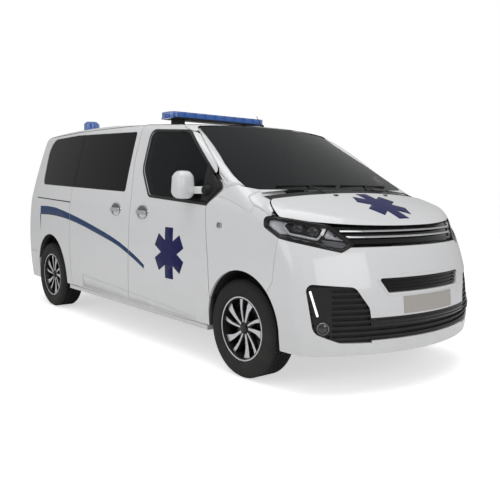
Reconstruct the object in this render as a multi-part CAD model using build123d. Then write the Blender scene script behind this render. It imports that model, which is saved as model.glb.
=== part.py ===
"""Ambulance on a mid-size van: a long, low, sloped-nose body with a blue light bar.

All sizes are millimetres. +X is forward, +Y is the vehicle's left, +Z is up, and the origin
lies on the ground below the middle of the vehicle. Places along the van are given from the
front axle with fx() or from the rear axle with rx(). The right side is drawn and mirrored.
"""
import math
import os

from build123d import *

# Whole vehicle
length = 4959.0
wheelbase = 3275.0
front_overhang = 881.0
rear_overhang = length - wheelbase - front_overhang
half_width = 960.0
sill_height = 262.0
roof_height = 1897.0

# Wheels
tyre_radius = 340.0
tyre_width = 225.0
tyre_corner = 30.0
rim_radius = 222.0
rim_width = 200.0
rim_dish = 26.0
spoke_pairs = 5
hub_radius = 42.0
front_track = 1627.0
rear_track = 1600.0
wheel_gap = 0.3

# Body walls and running gaps
door_wall = 56.0
body_wall = 62.0
frame_wall = 32.0
bonnet_wall = 28.0
fender_wall = 38.0
bumper_wall = 45.0
panel_gap = 7.0
seat_gap = 0.3
glass_inset = 5.0
glass_thickness = 5.0
body_corner = 100.0
nose_corner = 160.0
grille_inset = 10.0
lamp_depth = 70.0

# Joint axes, measured from the front axle, the centre plane and the ground
door_hinge_back = 322.0
door_hinge_out = half_width + 2.0
door_hinge_height = 700.0
door_hinge_lean = 0.08
bonnet_hinge_forward = 18.0
bonnet_hinge_height = 1252.0
tailgate_hinge_back = 3806.0

front_axle_x = length / 2 - front_overhang
rear_axle_x = front_axle_x - wheelbase


def fx(forward):
    """Place along the van measured forward from the front axle."""
    return front_axle_x + forward


def rx(forward):
    """Place along the van measured forward from the rear axle."""
    return rear_axle_x + forward


# Curvature of the outer skin
side_plan_radius = 50000.0
widest_x = fx(-1400)
waist_height = 1120.0
waist_half_width = 945.0
roof_fall_radius = 20000.0
roof_crown_radius = 7900.0
roof_apex_x = fx(-2700)
screen_foot = (72.0, 1306.0)
screen_top = (-695.0, 1760.0)
screen_plan_radius = 2807.0
nose_plan_radius = 1500.0
nose_profile_radius = 1273.0
nose_middle_height = 430.0
bonnet_crown_radius = 6000.0
bonnet_line = [(72.0, 1306.0), (370.0, 1216.0), (639.0, 1100.0)]
tail_plan_radius = 3500.0
tail_profile_radius = 4970.0
tail_low_height = 500.0

# Wheel openings: centre forward of its axle, centre height, radius
front_arch = (10.0, 378.0, 366.0)
rear_arch = (30.0, 385.0, 392.0)
arch_inner = 560.0

parts = {}


def closed_face(*curves):
    """Face inside curves that meet end to end."""
    return make_face([edge for curve in curves for edge in curve.edges()])


def side_outline(rows, grow=0.0):
    """Face in the XZ plane from rows of (forward of front axle, height, corner radius)."""
    corners = [(fx(row[0]), row[1]) for row in rows]
    face = make_face(FilletPolyline(*corners, radius=[row[2] for row in rows], close=True))
    return offset(face, amount=grow) if grow else face


def side_prism(rows, inner=560.0, outer=1100.0, grow=0.0):
    """Side outline pushed out through the right side, from inner to outer half width."""
    return Pos(0, -inner, 0) * extrude(Plane.XZ * side_outline(rows, grow), outer - inner)


def front_prism(rows, x_start, x_end, grow=0.0):
    """Outline of (half width, height, corner radius) rows, mirrored, pushed along X."""
    left = [(row[0], row[1], row[2]) for row in rows]
    right = [(-row[0], row[1], row[2]) for row in reversed(rows)]
    rows = left + right
    wire = FilletPolyline(*[row[:2] for row in rows], radius=[row[2] for row in rows], close=True)
    face = offset(make_face(wire), amount=grow) if grow else make_face(wire)
    plane = Plane(origin=(x_start, 0, 0), x_dir=(0, 1, 0), z_dir=(1, 0, 0))
    return extrude(plane * face, x_end - x_start)


def corner_prism(rows, near=300.0, far=1500.0, grow=0.0):
    """Outline on a plane that faces the right front corner, pushed along its normal."""
    wire = FilletPolyline(*[row[:2] for row in rows], radius=[row[2] for row in rows], close=True)
    face = offset(make_face(wire), amount=grow) if grow else make_face(wire)
    turn = math.radians(corner_turn)
    plane = Plane(
        origin=(front_axle_x, 0, 0),
        x_dir=(math.sin(turn), math.cos(turn), 0),
        z_dir=(math.cos(turn), -math.sin(turn), 0),
    ).offset(near)
    return extrude(plane * face, far - near)


def block(x_low, x_high, y_low, y_high, z_low, z_high):
    """Box between two corners."""
    size = (x_high - x_low, y_high - y_low, z_high - z_low)
    middle = ((x_high + x_low) / 2, (y_high + y_low) / 2, (z_high + z_low) / 2)
    return Pos(*middle) * Box(*size)


def sweep_ring(face, axis, half_angle):
    """Turn a face both ways about an axis."""
    return revolve(face.rotate(axis, -half_angle), axis=axis, revolution_arc=2 * half_angle)


def both(shape):
    """The shape and its mirror image across the centre plane, as separate solids."""
    return Compound(children=shape.solids() + mirror(shape, Plane.XZ).solids())


def left(shape):
    """Mirror image of a right-hand shape."""
    return mirror(shape, Plane.XZ)


def solids_of(shape, minimum=1000.0):
    """Keep the solids that are larger than a sliver."""
    kept = [solid for solid in shape.solids() if solid.volume > minimum]
    return Compound(children=kept) if len(kept) > 1 else kept[0]


# Outer skin tools


def flank_arc(end_height):
    """Arc of the flank from well below the sill up to a height."""
    flank = ThreePointArc((932, 300), (half_width, 720), (waist_half_width, waist_height))
    centre = flank.arc_center
    rise = math.degrees(math.asin((end_height - centre.Y) / flank.radius))
    return CenterArc(centre, flank.radius, -11, 11 + rise)


def side_face():
    """Cross-section of the body side: flank, waist and leaning upper side."""
    flank = flank_arc(waist_height)
    waist = TangentArc(flank @ 1, (938.9, 1160), tangent=flank % 1)
    upper = JernArc(waist @ 1, waist % 1, 8800, 6.5)
    far = -1500
    lines = Polyline(upper @ 1, (far, (upper @ 1).Y), (far, (flank @ 0).Y), flank @ 0)
    return closed_face(flank, waist, upper, lines)


def front_side_face():
    """Cross-section of the flank alone, carried on in one arc for the front wings."""
    arc = flank_arc(1520)
    far = -1500
    lines = Polyline(arc @ 1, (far, (arc @ 1).Y), (far, (arc @ 0).Y), arc @ 0)
    return closed_face(arc, lines)


def between_sides(face, inset):
    """Solid between the two body sides."""
    plane = Plane(origin=(widest_x, 0, 0), x_dir=(0, 1, 0), z_dir=(1, 0, 0))
    axis = Axis((widest_x, half_width - side_plan_radius, 0), (0, 0, 1))
    side = Pos(0, -inset, 0) * sweep_ring(plane * face, axis, 4.5)
    return side & mirror(side, Plane.XZ)


def below_roof(inset):
    """Everything under the roof skin, which falls to both ends and is crowned."""
    reach = 3100
    fall = reach**2 / (2 * roof_fall_radius)
    bow = Bezier(
        (roof_apex_x - reach, roof_height - fall),
        (roof_apex_x, roof_height + fall),
        (roof_apex_x + reach, roof_height - fall),
    )
    low = -200
    lines = Polyline(bow @ 1, ((bow @ 1).X, low), ((bow @ 0).X, low), bow @ 0)
    axis = Axis((0, 0, roof_height - roof_crown_radius), (1, 0, 0))
    return Pos(0, 0, -inset) * sweep_ring(Plane.XZ * closed_face(bow, lines), axis, 9)


def behind_tail(inset):
    """What lies behind the tail skin, which leans forward as it rises."""
    reach = 1500
    lean = reach**2 / (2 * tail_profile_radius)
    back = fx(front_overhang) - length
    bow = Bezier(
        (back + lean, tail_low_height - reach),
        (back - lean, tail_low_height),
        (back + lean, tail_low_height + reach),
    )
    far = back - 900
    lines = Polyline(bow @ 1, (far, (bow @ 1).Y), (far, (bow @ 0).Y), bow @ 0)
    axis = Axis((back + tail_plan_radius, 0, 0), (0, 0, 1))
    return Pos(inset, 0, 0) * sweep_ring(Plane.XZ * closed_face(bow, lines), axis, 22)


def above_screen(inset):
    """What lies ahead of and above the windscreen."""
    along = Vector(screen_top[0] - screen_foot[0], screen_top[1] - screen_foot[1])
    foot = Vector(fx(screen_foot[0]), screen_foot[1])
    low = foot - along * 1.2
    high = foot + along * 1.9
    normal = along.normalized()
    axis = Axis((fx(screen_foot[0]) - screen_plan_radius, 0, 0), (0, 0, 1))
    face = make_face(Polyline(low, high, (low.X, high.Y), close=True))
    return Pos(-normal.Y * inset, 0, normal.X * inset) * sweep_ring(Plane.XZ * face, axis, 34)


def below_bonnet(inset):
    """Everything under the bonnet skin."""
    arc = ThreePointArc(*[(fx(x), z) for x, z in bonnet_line])
    centre = arc.arc_center
    start = math.degrees(math.atan2((arc @ 1).Y - centre.Y, (arc @ 1).X - centre.X))
    full = CenterArc(centre, arc.radius, start - 12, 40)
    low = -200
    lines = Polyline(full @ 1, ((full @ 1).X, low), ((full @ 0).X, low), full @ 0)
    axis = Axis((0, 0, 1200 - bonnet_crown_radius), (1, 0, 0))
    return Pos(0, 0, -inset) * sweep_ring(Plane.XZ * closed_face(full, lines), axis, 11)


def ahead_of_nose(inset):
    """What lies ahead of the nose skin, which leans back above and below the bumper."""
    reach = 900
    lean = reach**2 / (2 * nose_profile_radius)
    tip = fx(front_overhang)
    bow = Bezier(
        (tip - lean, nose_middle_height - reach),
        (tip + lean, nose_middle_height),
        (tip - lean, nose_middle_height + reach),
    )
    ahead = tip + 600
    lines = Polyline(bow @ 1, (ahead, (bow @ 1).Y), (ahead, (bow @ 0).Y), bow @ 0)
    axis = Axis((tip - nose_plan_radius, 0, 0), (0, 0, 1))
    return Pos(-inset, 0, 0) * sweep_ring(Plane.XZ * closed_face(bow, lines), axis, 70)


def cabin_solid(inset):
    """Full-height body up to the windscreen, with its corners rounded."""
    body = between_sides(side_face(), inset) & below_roof(inset)
    body = body - behind_tail(inset) - above_screen(inset)
    body = body & block(-3000, 3000, -1500, 1500, sill_height, 2300)
    corners = list(body.faces().sort_by(Axis.Z)[-1].edges())
    for edge in body.edges():
        middle = edge.center()
        tail = middle.X < rx(-420) and 270 < middle.Z < 1835 and edge.geom_type != GeomType.CIRCLE
        pillar = 650 < middle.X < 1980 and 900 < middle.Z < 1830
        if abs(middle.Y) > 600 and (tail or pillar):
            corners.append(edge)
    return fillet(corners, max(body_corner - inset, 12))


def nose_solid(inset):
    """Front of the body below the bonnet skin, with its corners rounded."""
    body = between_sides(front_side_face(), inset) & below_bonnet(inset)
    body = body - ahead_of_nose(inset)
    body = body & block(fx(-420), fx(2000), -1500, 1500, sill_height, 2300)
    corners = [e for e in body.edges() if e.center().X > fx(-400) and e.center().Z > 270]
    return fillet(corners, max(nose_corner - inset, 20))


# Panel outlines, rows of (forward of front axle, height, corner radius)
b_seam = [(-1545, 1828, 12), (-1552, 1530, 200), (-1476, 1180, 300), (-1480, 800, 300)]
front_door_rows = [
    (-322, 300, 25),
    (-345, 780, 400),
    (-402, 1165, 60),
    (-228, 1290, 22),
    (-345, 1456, 150),
    (-700, 1697, 200),
    (-1000, 1796, 300),
] + b_seam + [(-1522, 300, 15)]
sliding_door_rows = [(-1522, 300, 15)] + b_seam[::-1] + [(-2722, 1838, 12), (-2722, 300, 15)]
side_top_rows = [
    (-4300, 200, 0),
    (-200, 200, 0),
    (-228, 1290, 22),
    (-345, 1456, 150),
    (-700, 1697, 200),
    (-1000, 1796, 300),
    (-1545, 1830, 0),
    (-2927, 1840, 0),
    (-4300, 1816, 0),
]
rear_wing_rows = [
    (-4300, 300, 0),
    (-2722, 300, 0),
    (-2722, 1836, 0),
    (-4300, 1813, 0),
]
door_window_rows = [
    (-1195, 1231, 60),
    (-395, 1186, 30),
    (-252, 1300, 20),
    (-828, 1720, 120),
    (-1370, 1756, 60),
    (-1368, 1440, 150),
]
side_window_rows = [
    (-1607, 1249, 25),
    (-3586, 1306, 60),
    (-3640, 1792, 170),
    (-2900, 1806, 600),
    (-1622, 1768, 30),
]
front_doorway_rows = [
    (-420, 340, 60),
    (-440, 1150, 60),
    (-420, 1440, 100),
    (-740, 1668, 150),
    (-1010, 1752, 200),
    (-1480, 1775, 60),
    (-1425, 1180, 300),
    (-1440, 340, 60),
]
rear_doorway_rows = [(-1620, 340, 60), (-1620, 1768, 60), (-2660, 1772, 60), (-2660, 340, 60)]
frame_rows = [
    (-4200, 300, 0),
    (-405, 300, 0),
    (-405, 800, 0),
    (-70, 800, 0),
    (-70, 1282, 0),
    (-228, 1375, 0),
    (-700, 1765, 0),
    (-1200, 1838, 0),
    (-4200, 1850, 0),
]
pillar_rows = [
    (-790, 1900, 0),
    (-790, 1600, 0),
    (-402, 1300, 0),
    (-402, 1100, 0),
    (300, 1100, 0),
    (300, 1900, 0),
]
screen_rows = [(770, 1290, 40), (905, 1318, 60), (702, 1772, 60), (350, 1798, 800)]
tailgate_rows = [(715, 455, 60), (745, 640, 60), (752, 1150, 60), (700, 1720, 90), (640, 1950, 0)]
tailgate_window_rows = [(655, 1190, 60), (610, 1690, 90)]
rear_bumper_rows = [
    (-4300, 200, 0),
    (-3600, 200, 0),
    (-3570, 445, 40),
    (-3700, 560, 60),
    (-4300, 560, 0),
]
bonnet_rows = [(-60, 1322), (60, 1245), (181, 1172), (294, 1116), (607, 1073), (760, 1055)]
bumper_rows = [(-100, 150), (1200, 150), (1200, 938), (600, 930), (366, 985), (330, 700)]

# Rows for the front corner: across the corner plane, height, corner radius
corner_turn = 40.0
headlamp_rows = [
    (-556, 1112, 30),
    (-500, 1122, 30),
    (-150, 1070, 60),
    (22, 950, 15),
    (-70, 902, 20),
    (-462, 985, 60),
    (-556, 1050, 30),
]
fog_rows = [
    (-305, 715, 40),
    (15, 690, 60),
    (110, 560, 60),
    (130, 440, 0),
    (130, 338, 0),
    (-80, 345, 60),
    (-250, 410, 80),
]
lower_mouth_rows = [(565, 352, 0), (560, 440, 0)]
middle_grille_rows = [(372, 646, 14), (430, 738, 14)]

# Skins at the depths that the panels need
cabin_0 = cabin_solid(0)
cabin_door = cabin_solid(door_wall)
cabin_wall = cabin_solid(body_wall)
cabin_frame = cabin_solid(body_wall + frame_wall)
cabin_bumper = cabin_solid(bumper_wall)
nose_0 = nose_solid(0)
nose_slat = nose_solid(grille_inset)
nose_bonnet = nose_solid(bonnet_wall)
nose_fender = nose_solid(fender_wall)
nose_bumper = nose_solid(bumper_wall)
nose_lamp = nose_solid(lamp_depth)

inner_sides = between_sides(side_face(), door_wall)
door_skin = cabin_0 - cabin_door
wall_skin = cabin_0 - cabin_wall
frame_skin = cabin_wall - cabin_frame

half_gap = panel_gap / 2


def glass_layer(inward, space):
    """Thin layer just inside the cabin skin, moved in along a unit vector and cut to a space."""
    outer = Pos(*(inward * glass_inset)) * cabin_0
    inner = Pos(*(inward * (glass_inset + glass_thickness))) * cabin_0
    return (outer & space) - inner


def arch_hole(arch, axle_x, inner, outer):
    """Round wheel opening through one body side, open downwards."""
    centre_x = axle_x + arch[0]
    plane = Plane(origin=(centre_x, -inner, arch[1]), x_dir=(1, 0, 0), z_dir=(0, -1, 0))
    drum = extrude(plane * Circle(arch[2]), outer - inner)
    foot = block(centre_x - arch[2], centre_x + arch[2], -outer, -inner, 0, arch[1])
    return drum + foot


front_hole = arch_hole(front_arch, front_axle_x, arch_inner, 1100)
rear_hole = arch_hole(rear_arch, rear_axle_x, arch_inner, 1100)

front_door_cut = side_prism(front_door_rows, grow=half_gap)
sliding_cut = side_prism(sliding_door_rows, grow=half_gap)
side_window_cut = side_prism(side_window_rows, inner=600)


def screen_prism(depth, grow):
    """Windscreen outline pushed through the front skin, down to a depth below it."""
    return front_prism(screen_rows, fx(-1100), fx(420), grow=grow) & above_screen(depth)


screen_cut = screen_prism(110, half_gap)
tailgate_x = fx(-tailgate_hinge_back)
tailgate_cut = front_prism(tailgate_rows, -length, tailgate_x, grow=half_gap)
rear_bumper_cut = side_prism(rear_bumper_rows, inner=-1200, outer=1200, grow=half_gap)


hinge_line = Axis(
    (fx(-door_hinge_back), -door_hinge_out, door_hinge_height), (0, door_hinge_lean, 1)
)


def make_body_side():
    """Fixed right side: wing behind the doors, windscreen pillar, door frames and rocker."""
    skin = wall_skin & side_prism(rear_wing_rows)
    pillar = (wall_skin & side_prism(pillar_rows, inner=450)) - Pos(0, -3, 0) * nose_0
    frame = frame_skin & side_prism(frame_rows, inner=640)
    frame = frame - side_prism(front_doorway_rows, inner=500) - side_prism(rear_doorway_rows, inner=500)
    sail = (Vector(*hinge_line.direction) * 590) + Vector(*hinge_line.position)
    hinge_clear = Plane(origin=sail, z_dir=hinge_line.direction) * Cylinder(112, 280)
    side = (skin + pillar) - front_door_cut - sliding_cut - rear_bumper_cut - tailgate_cut
    side = side + (frame - hinge_clear)
    pads = (Pos(0, seat_gap, 0) * cabin_door) & block(fx(-400), fx(-355), -1000, -850, 900, 1000)
    rocker = block(rx(470), fx(-405), -905, -760, sill_height - 6, 292)
    riser = block(rx(470), fx(-405), -848, -760, sill_height - 6, 335)
    side = side + pads + rocker + riser
    return side - side_window_cut - screen_cut - rear_hole - tail_lamp_cut


tail_lamp_rows = [(-4300, 860, 0), (-3955, 860, 40), (-3925, 1190, 40), (-4300, 1190, 0)]
tail_lamp_cut = side_prism(tail_lamp_rows, inner=752 + panel_gap, outer=1100, grow=1)
body_side = solids_of(make_body_side(), 50000.0)
parts["body_side_right"] = body_side
parts["body_side_left"] = left(body_side)

roof = wall_skin & block(-3000, fx(-790) - 1, -1500, 1500, 1600, 2300)
roof = roof - both(side_prism(side_top_rows, grow=1)) - screen_cut - tailgate_cut
roof = roof & block(tailgate_x + half_gap, 3000, -1500, 1500, 1600, 2300)
parts["roof_panel"] = solids_of(roof)


# Doors, bonnet, tailgate


def swing_room():
    """Space round the hinge line that the door's rear edge may fill and still swing clear."""
    radii = [(200, 1199), (300, 1199), (800, 1156), (1180, 1152), (1530, 1228), (1667, 1228)]
    radii += [(1767, 1225), (1828, 1220), (1950, 1220)]
    along = Vector(*hinge_line.direction)
    start = Vector(*hinge_line.position)
    points = [start + along * (z - door_hinge_height) - Vector(radius, 0, 0) for z, radius in radii]
    points += [start + along * (1950 - door_hinge_height), start + along * (200 - door_hinge_height)]
    face = make_face(Polyline(*points, close=True))
    return revolve(face, axis=hinge_line)


window_hole = side_prism(door_window_rows, inner=500)
door = (cabin_0 & side_prism(front_door_rows, grow=-half_gap)) - inner_sides - window_hole
door = (door & swing_room()) - screen_cut - arch_hole(front_arch, front_axle_x, 700, 1100)
parts["front_door_right"] = solids_of(door)
parts["front_door_left"] = left(parts["front_door_right"])
door_pane = side_prism(door_window_rows, inner=500, grow=-seat_gap)
door_glass = glass_layer(Vector(0, 1, 0), door_pane)
parts["front_door_glass_right"] = solids_of(door_glass)
parts["front_door_glass_left"] = left(parts["front_door_glass_right"])

sliding = (cabin_0 & side_prism(sliding_door_rows, grow=-half_gap)) - inner_sides - side_window_cut
parts["sliding_doors"] = both(solids_of(sliding))
rear_pane = side_prism(side_window_rows, inner=600, grow=-seat_gap)
rear_panes = glass_layer(Vector(0, 1, 0), rear_pane)
post = block(fx(-2722) - half_gap, fx(-2722) + half_gap, -1500, 0, 0, 2300)
parts["rear_side_glass"] = both(rear_panes - post)

along = Vector(screen_top[0] - screen_foot[0], 0, screen_top[1] - screen_foot[1]).normalized()
screen_space = screen_prism(40, half_gap - seat_gap)
parts["windscreen"] = solids_of(glass_layer(Vector(-along.Z, 0, along.X), screen_space))

tailgate_skin = door_skin & front_prism(tailgate_rows, -length, tailgate_x, grow=-half_gap)
tailgate_skin = tailgate_skin & block(-3000, tailgate_x - half_gap, -1500, 1500, 470, 2300)
rear_window_hole = front_prism(tailgate_window_rows, -length, rx(-450))
parts["tailgate"] = solids_of(tailgate_skin - rear_window_hole)
tail_pane = front_prism(tailgate_window_rows, -length, rx(-450), grow=-seat_gap)
parts["tailgate_glass"] = solids_of(glass_layer(Vector(1, 0, 0), tail_pane))

rear_bumper = (cabin_0 - cabin_bumper) & side_prism(rear_bumper_rows, inner=-1200, outer=1200)
rear_bumper = rear_bumper - rear_hole - left(rear_hole) - front_prism(tailgate_rows, -length, tailgate_x)
parts["rear_bumper"] = solids_of(rear_bumper)

bonnet_corners = [(fx(x), z) for x, z in bonnet_rows]
bonnet_corners += [(fx(900), 1055), (fx(900), 1500), (fx(-60), 1500)]
bonnet_face = make_face(Polyline(*bonnet_corners, close=True))
bonnet_space = Pos(0, 1200, 0) * extrude(Plane.XZ * bonnet_face, 2400)
cowl_depth = 78.0
behind_bonnet = Pos(cowl_depth, 0, 0) * above_screen(0)
headlamp_room = both(corner_prism(headlamp_rows, grow=3))
bonnet = ((nose_0 - nose_bonnet) & bonnet_space & behind_bonnet) - headlamp_room
parts["bonnet"] = solids_of(bonnet)

# Front wings, bumper, lamps and grilles

bumper_face = make_face(Polyline(*[(fx(x), z) for x, z in bumper_rows], close=True))
bumper_space = Pos(0, 1200, 0) * extrude(Plane.XZ * bumper_face, 2400)
bumper_room = Pos(0, 1200, 0) * extrude(Plane.XZ * offset(bumper_face, amount=3), 2400)
bonnet_room = Pos(0, 1200, 0) * extrude(Plane.XZ * offset(bonnet_face, amount=5), 2400)

wing_space = side_prism([(-402, 200, 0), (900, 200, 0), (900, 1400, 0), (-402, 1400, 0)], inner=540)
wing = (nose_0 - nose_fender) & wing_space
wing = wing - side_prism(front_door_rows, grow=half_gap) - bumper_room - bonnet_room
wing = wing - headlamp_room - front_hole - body_side - cabin_bumper - screen_cut
parts["front_fenders"] = both(solids_of(wing, 500000.0))

fog_room = corner_prism(fog_rows)
lower_mouth = front_prism(lower_mouth_rows, fx(300), fx(1000))
middle_mouth = front_prism(middle_grille_rows, fx(300), fx(1000))
bumper = (nose_0 - nose_bumper) & bumper_space
bumper = bumper - fog_room - left(fog_room) - headlamp_room - lower_mouth - middle_mouth
bumper = bumper - front_hole - left(front_hole)
parts["front_bumper"] = solids_of(bumper, 50000.0)

headlamp_shape = (nose_0 - nose_lamp) & corner_prism(headlamp_rows)
headlamp_shape = headlamp_shape & block(fx(-200), fx(900), -1200, -500, 800, 1200)
parts["headlamps"] = both(solids_of(headlamp_shape, 20000.0))

front_bars = nose_slat - nose_bonnet
backing = nose_bonnet - nose_fender


def grille(space, low, high, count, thickness):
    """Level bars on a thin backing, cut to the opening."""
    pitch = (high - low) / count
    heights = [low + index * pitch for index in range(count)]
    shell = front_bars & space
    bars = [shell & block(0, 3000, -900, 900, height, height + thickness) for height in heights]
    grille_shape = backing & space
    for bar in bars:
        grille_shape = grille_shape + bar
    return grille_shape


fog_inset = corner_prism(fog_rows, grow=-seat_gap)
mouth_inset = front_prism(lower_mouth_rows, fx(300), fx(1000), grow=-seat_gap)
lower_space = fog_inset + left(fog_inset) + mouth_inset
parts["lower_grille"] = solids_of(grille(lower_space, 362, 712, 10, 16), 20000.0)
upper_space = block(fx(500), fx(900), -640, 640, 941, 1056) - headlamp_room - bonnet_room
middle_inset = front_prism(middle_grille_rows, fx(300), fx(1000), grow=-seat_gap)
upper = solids_of(grille(upper_space, 952, 1060, 3, 14), 20000.0)
middle = solids_of(grille(middle_inset, 660, 744, 4, 10), 20000.0)
parts["upper_grille"] = Compound(children=upper.solids() + middle.solids())

tail_lamp = (cabin_0 - cabin_bumper) & side_prism(tail_lamp_rows, inner=752 + panel_gap + 1)
parts["tail_lamps"] = both(solids_of(tail_lamp, 20000.0))
cowl_strip = (nose_slat - nose_fender) & above_screen(-4)
cowl_strip = cowl_strip - (Pos(cowl_depth - 6, 0, 0) * above_screen(0))
cowl_strip = cowl_strip & block(fx(-200), fx(300), -800, 800, 1100, 1400)
parts["cowl_panel"] = solids_of(cowl_strip, 5000.0)

# Wheels, drawn about the origin with the outer side towards -Y


def turned(rows, centre=(0, 0, 0)):
    """Ring turned about the wheel axis from rows of (place across, radius)."""
    face = make_face(Plane.YZ * Polyline(*rows, close=True))
    return Pos(*centre) * revolve(face, axis=Axis.Y)


tyre_rows = [
    (-rim_width / 2, rim_radius + wheel_gap),
    (-tyre_width / 2, tyre_radius - 70),
    (-tyre_width / 2 + 4, tyre_radius - 32),
    (-tyre_width / 2 + tyre_corner, tyre_radius),
    (tyre_width / 2 - tyre_corner, tyre_radius),
    (tyre_width / 2 - 4, tyre_radius - 32),
    (tyre_width / 2, tyre_radius - 70),
    (rim_width / 2, rim_radius + wheel_gap),
]
barrel_rows = [
    (-rim_width / 2, rim_radius),
    (-rim_width / 2, rim_radius - 16),
    (-rim_width / 2 + 60, rim_radius - 30),
    (rim_width / 2, rim_radius - 24),
    (rim_width / 2, rim_radius),
]
face_out = -rim_width / 2 + rim_dish
hub_rows = [(face_out, 0), (face_out, hub_radius), (face_out + 60, hub_radius + 30), (face_out + 60, 0)]


def spoke(angle):
    """One bent spoke from the hub to the rim, leaning round the wheel as it goes out."""
    lean = 9.0
    rows = [
        (0, hub_radius - 8, 34, 46),
        (lean * 0.4, 130, 26, 30),
        (lean, rim_radius - 20, 34, 22),
    ]
    sections = []
    for turn, radius, width, depth in rows:
        across = face_out + 6 - 10 * (radius - hub_radius) / (rim_radius - hub_radius)
        plane = Plane(origin=(0, across + depth / 2, radius), x_dir=(1, 0, 0), z_dir=(0, 0, 1))
        sections.append(Rot(0, angle + turn, 0) * (plane * Rectangle(width, depth)))
    return loft(sections, ruled=True)


pitch_angle = 360 / spoke_pairs
spokes = []
for pair_index in range(spoke_pairs):
    for shift in (-0.21, 0.21):
        spokes.append(spoke(pitch_angle * (pair_index + shift)))
rim = turned(barrel_rows) + ([turned(hub_rows)] + spokes)
tyre = turned(tyre_rows)
wheel_places = {
    "front_right": (front_axle_x, -front_track / 2),
    "front_left": (front_axle_x, front_track / 2),
    "rear_right": (rear_axle_x, -rear_track / 2),
    "rear_left": (rear_axle_x, rear_track / 2),
}
for place, (x, y) in wheel_places.items():
    spot = Pos(x, y, tyre_radius)
    wheel_rim = rim if y < 0 else mirror(rim, Plane.XZ)
    wheel_tyre = tyre if y < 0 else mirror(tyre, Plane.XZ)
    parts[f"rim_{place}"] = spot * wheel_rim
    parts[f"tyre_{place}"] = spot * wheel_tyre

# Axles and chassis
hub_back = face_out + 60 + wheel_gap
disc_radius = 150.0
disc_thickness = 28.0
swivel_radius = 96.0
swivel_height = 110.0
floor_top = 475.0
floor_bottom = 430.0


def hub_carrier(side_x, side_y):
    """Right-hand brake disc and swivel block, round about the steering axis."""
    disc = Pos(0, hub_back + disc_thickness / 2, 0) * Cylinder(disc_radius, disc_thickness, rotation=(90, 0, 0))
    swivel = Cylinder(swivel_radius, swivel_height) & block(-200, 200, 0, 200, -200, 200)
    return Pos(side_x, side_y, tyre_radius) * (disc + swivel)


knuckle = hub_carrier(front_axle_x, -front_track / 2)
parts["knuckle_right"] = knuckle
parts["knuckle_left"] = left(knuckle)

beam = Pos(rear_axle_x, 0, tyre_radius) * Cylinder(45, rear_track - 150, rotation=(90, 0, 0))
rear_hub = hub_carrier(rear_axle_x, -rear_track / 2)
spring = block(rx(-45), rx(45), -540, -460, tyre_radius, floor_bottom - seat_gap)
parts["rear_axle"] = beam + rear_hub + left(rear_hub) + spring + left(spring)

slab = block(rx(-640), fx(-372), -1000, 1000, floor_bottom, floor_top)
floor = cabin_frame & slab
wheel_box = block(rx(-380), rx(440), -1000, -arch_inner, 0, 900)
floor = floor - wheel_box - left(wheel_box)
firewall = block(fx(-400), fx(-380), -800, 800, floor_top - 1, 760 - seat_gap)
parts["floor_pan"] = floor + firewall
cradle = block(fx(-340), fx(420), -430, 430, 190, 240)
arm = block(fx(-60), fx(60), -front_track / 2, front_track / 2, 215, 312)
seat_room = Pos(front_axle_x, -front_track / 2, tyre_radius) * Cylinder(swivel_radius + seat_gap, 400)
rail = block(fx(-620), fx(-340), -430, -350, 190, floor_bottom - seat_gap)
parts["front_subframe"] = (cradle + arm + rail + left(rail)) - seat_room - left(seat_room)
parts["engine"] = block(fx(60), fx(540), -330, 330, 240, 840)


def arch_liner(arch, axle_x, inner, bound):
    """Half-round shell over a wheel, out to the back of the outer skin."""
    centre_x = axle_x + arch[0]
    plane = Plane(origin=(centre_x, -inner, arch[1]), x_dir=(1, 0, 0), z_dir=(0, -1, 0))
    outer_radius = arch[2] + 16
    ring = extrude(plane * (Circle(outer_radius) - Circle(arch[2] + 6)), 900 - inner)
    wall = extrude(plane * Circle(outer_radius), 6)
    keep = block(centre_x - 500, centre_x + 500, -1000, 0, arch[1] - 60, 1200)
    return (ring + wall) & keep & bound


front_liner = arch_liner(front_arch, front_axle_x, 470, nose_fender)
door_room = side_prism(front_door_rows, grow=8) - (Pos(0, 6, 0) * inner_sides)
front_liner = front_liner - bumper_room - headlamp_room - body_side - door_room
axle_room = Pos(rear_axle_x, 0, tyre_radius) * Cylinder(51, 2000, rotation=(90, 0, 0))
rear_liner = arch_liner(rear_arch, rear_axle_x, arch_inner, cabin_frame) - axle_room
liner_solids = solids_of(front_liner, 5000.0).solids() + solids_of(rear_liner, 5000.0).solids()
parts["wheel_liners"] = both(Compound(children=liner_solids))

# Roof lights
bar_half = 532.0
bar_x = fx(-1567)
bar_low = 1897.0
lamp_bar = block(bar_x - 110, bar_x + 110, -bar_half, bar_half, bar_low, bar_low + 58)
parts["light_bar"] = fillet(lamp_bar.edges().filter_by(Axis.Z), 60)
foot_block = block(bar_x - 60, bar_x + 60, -440, -370, 1800, bar_low - seat_gap) - cabin_0
parts["light_bar_feet"] = both(foot_block)
beacon_x = fx(-3212)
beacon = Pos(beacon_x, -450, 1920) * Cylinder(82, 130)
beacon = chamfer(beacon.edges().sort_by(Axis.Z)[-1], 22)
parts["roof_beacons"] = both(beacon - cabin_0)

# Mirrors and handles
mirror_head = Pos(fx(-645), -1000, 1317) * Box(140, 150, 198)
mirror_head = fillet(mirror_head.edges(), 45)
mirror_arm = block(fx(-645), fx(-510), -985, -880, 1140, 1250)
mirror_piece = (mirror_head + mirror_arm) - cabin_0
parts["mirror_right"] = solids_of(mirror_piece, 5000.0)
parts["mirror_left"] = left(parts["mirror_right"])


def handle(x_middle, z_middle):
    """Pull handle standing off the skin."""
    bar = block(x_middle - 75, x_middle + 75, -985, -900, z_middle - 16, z_middle + 16)
    return (fillet(bar.edges().filter_by(Axis.Y), 14) - cabin_0) & (Pos(0, -22, 0) * cabin_0)


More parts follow.
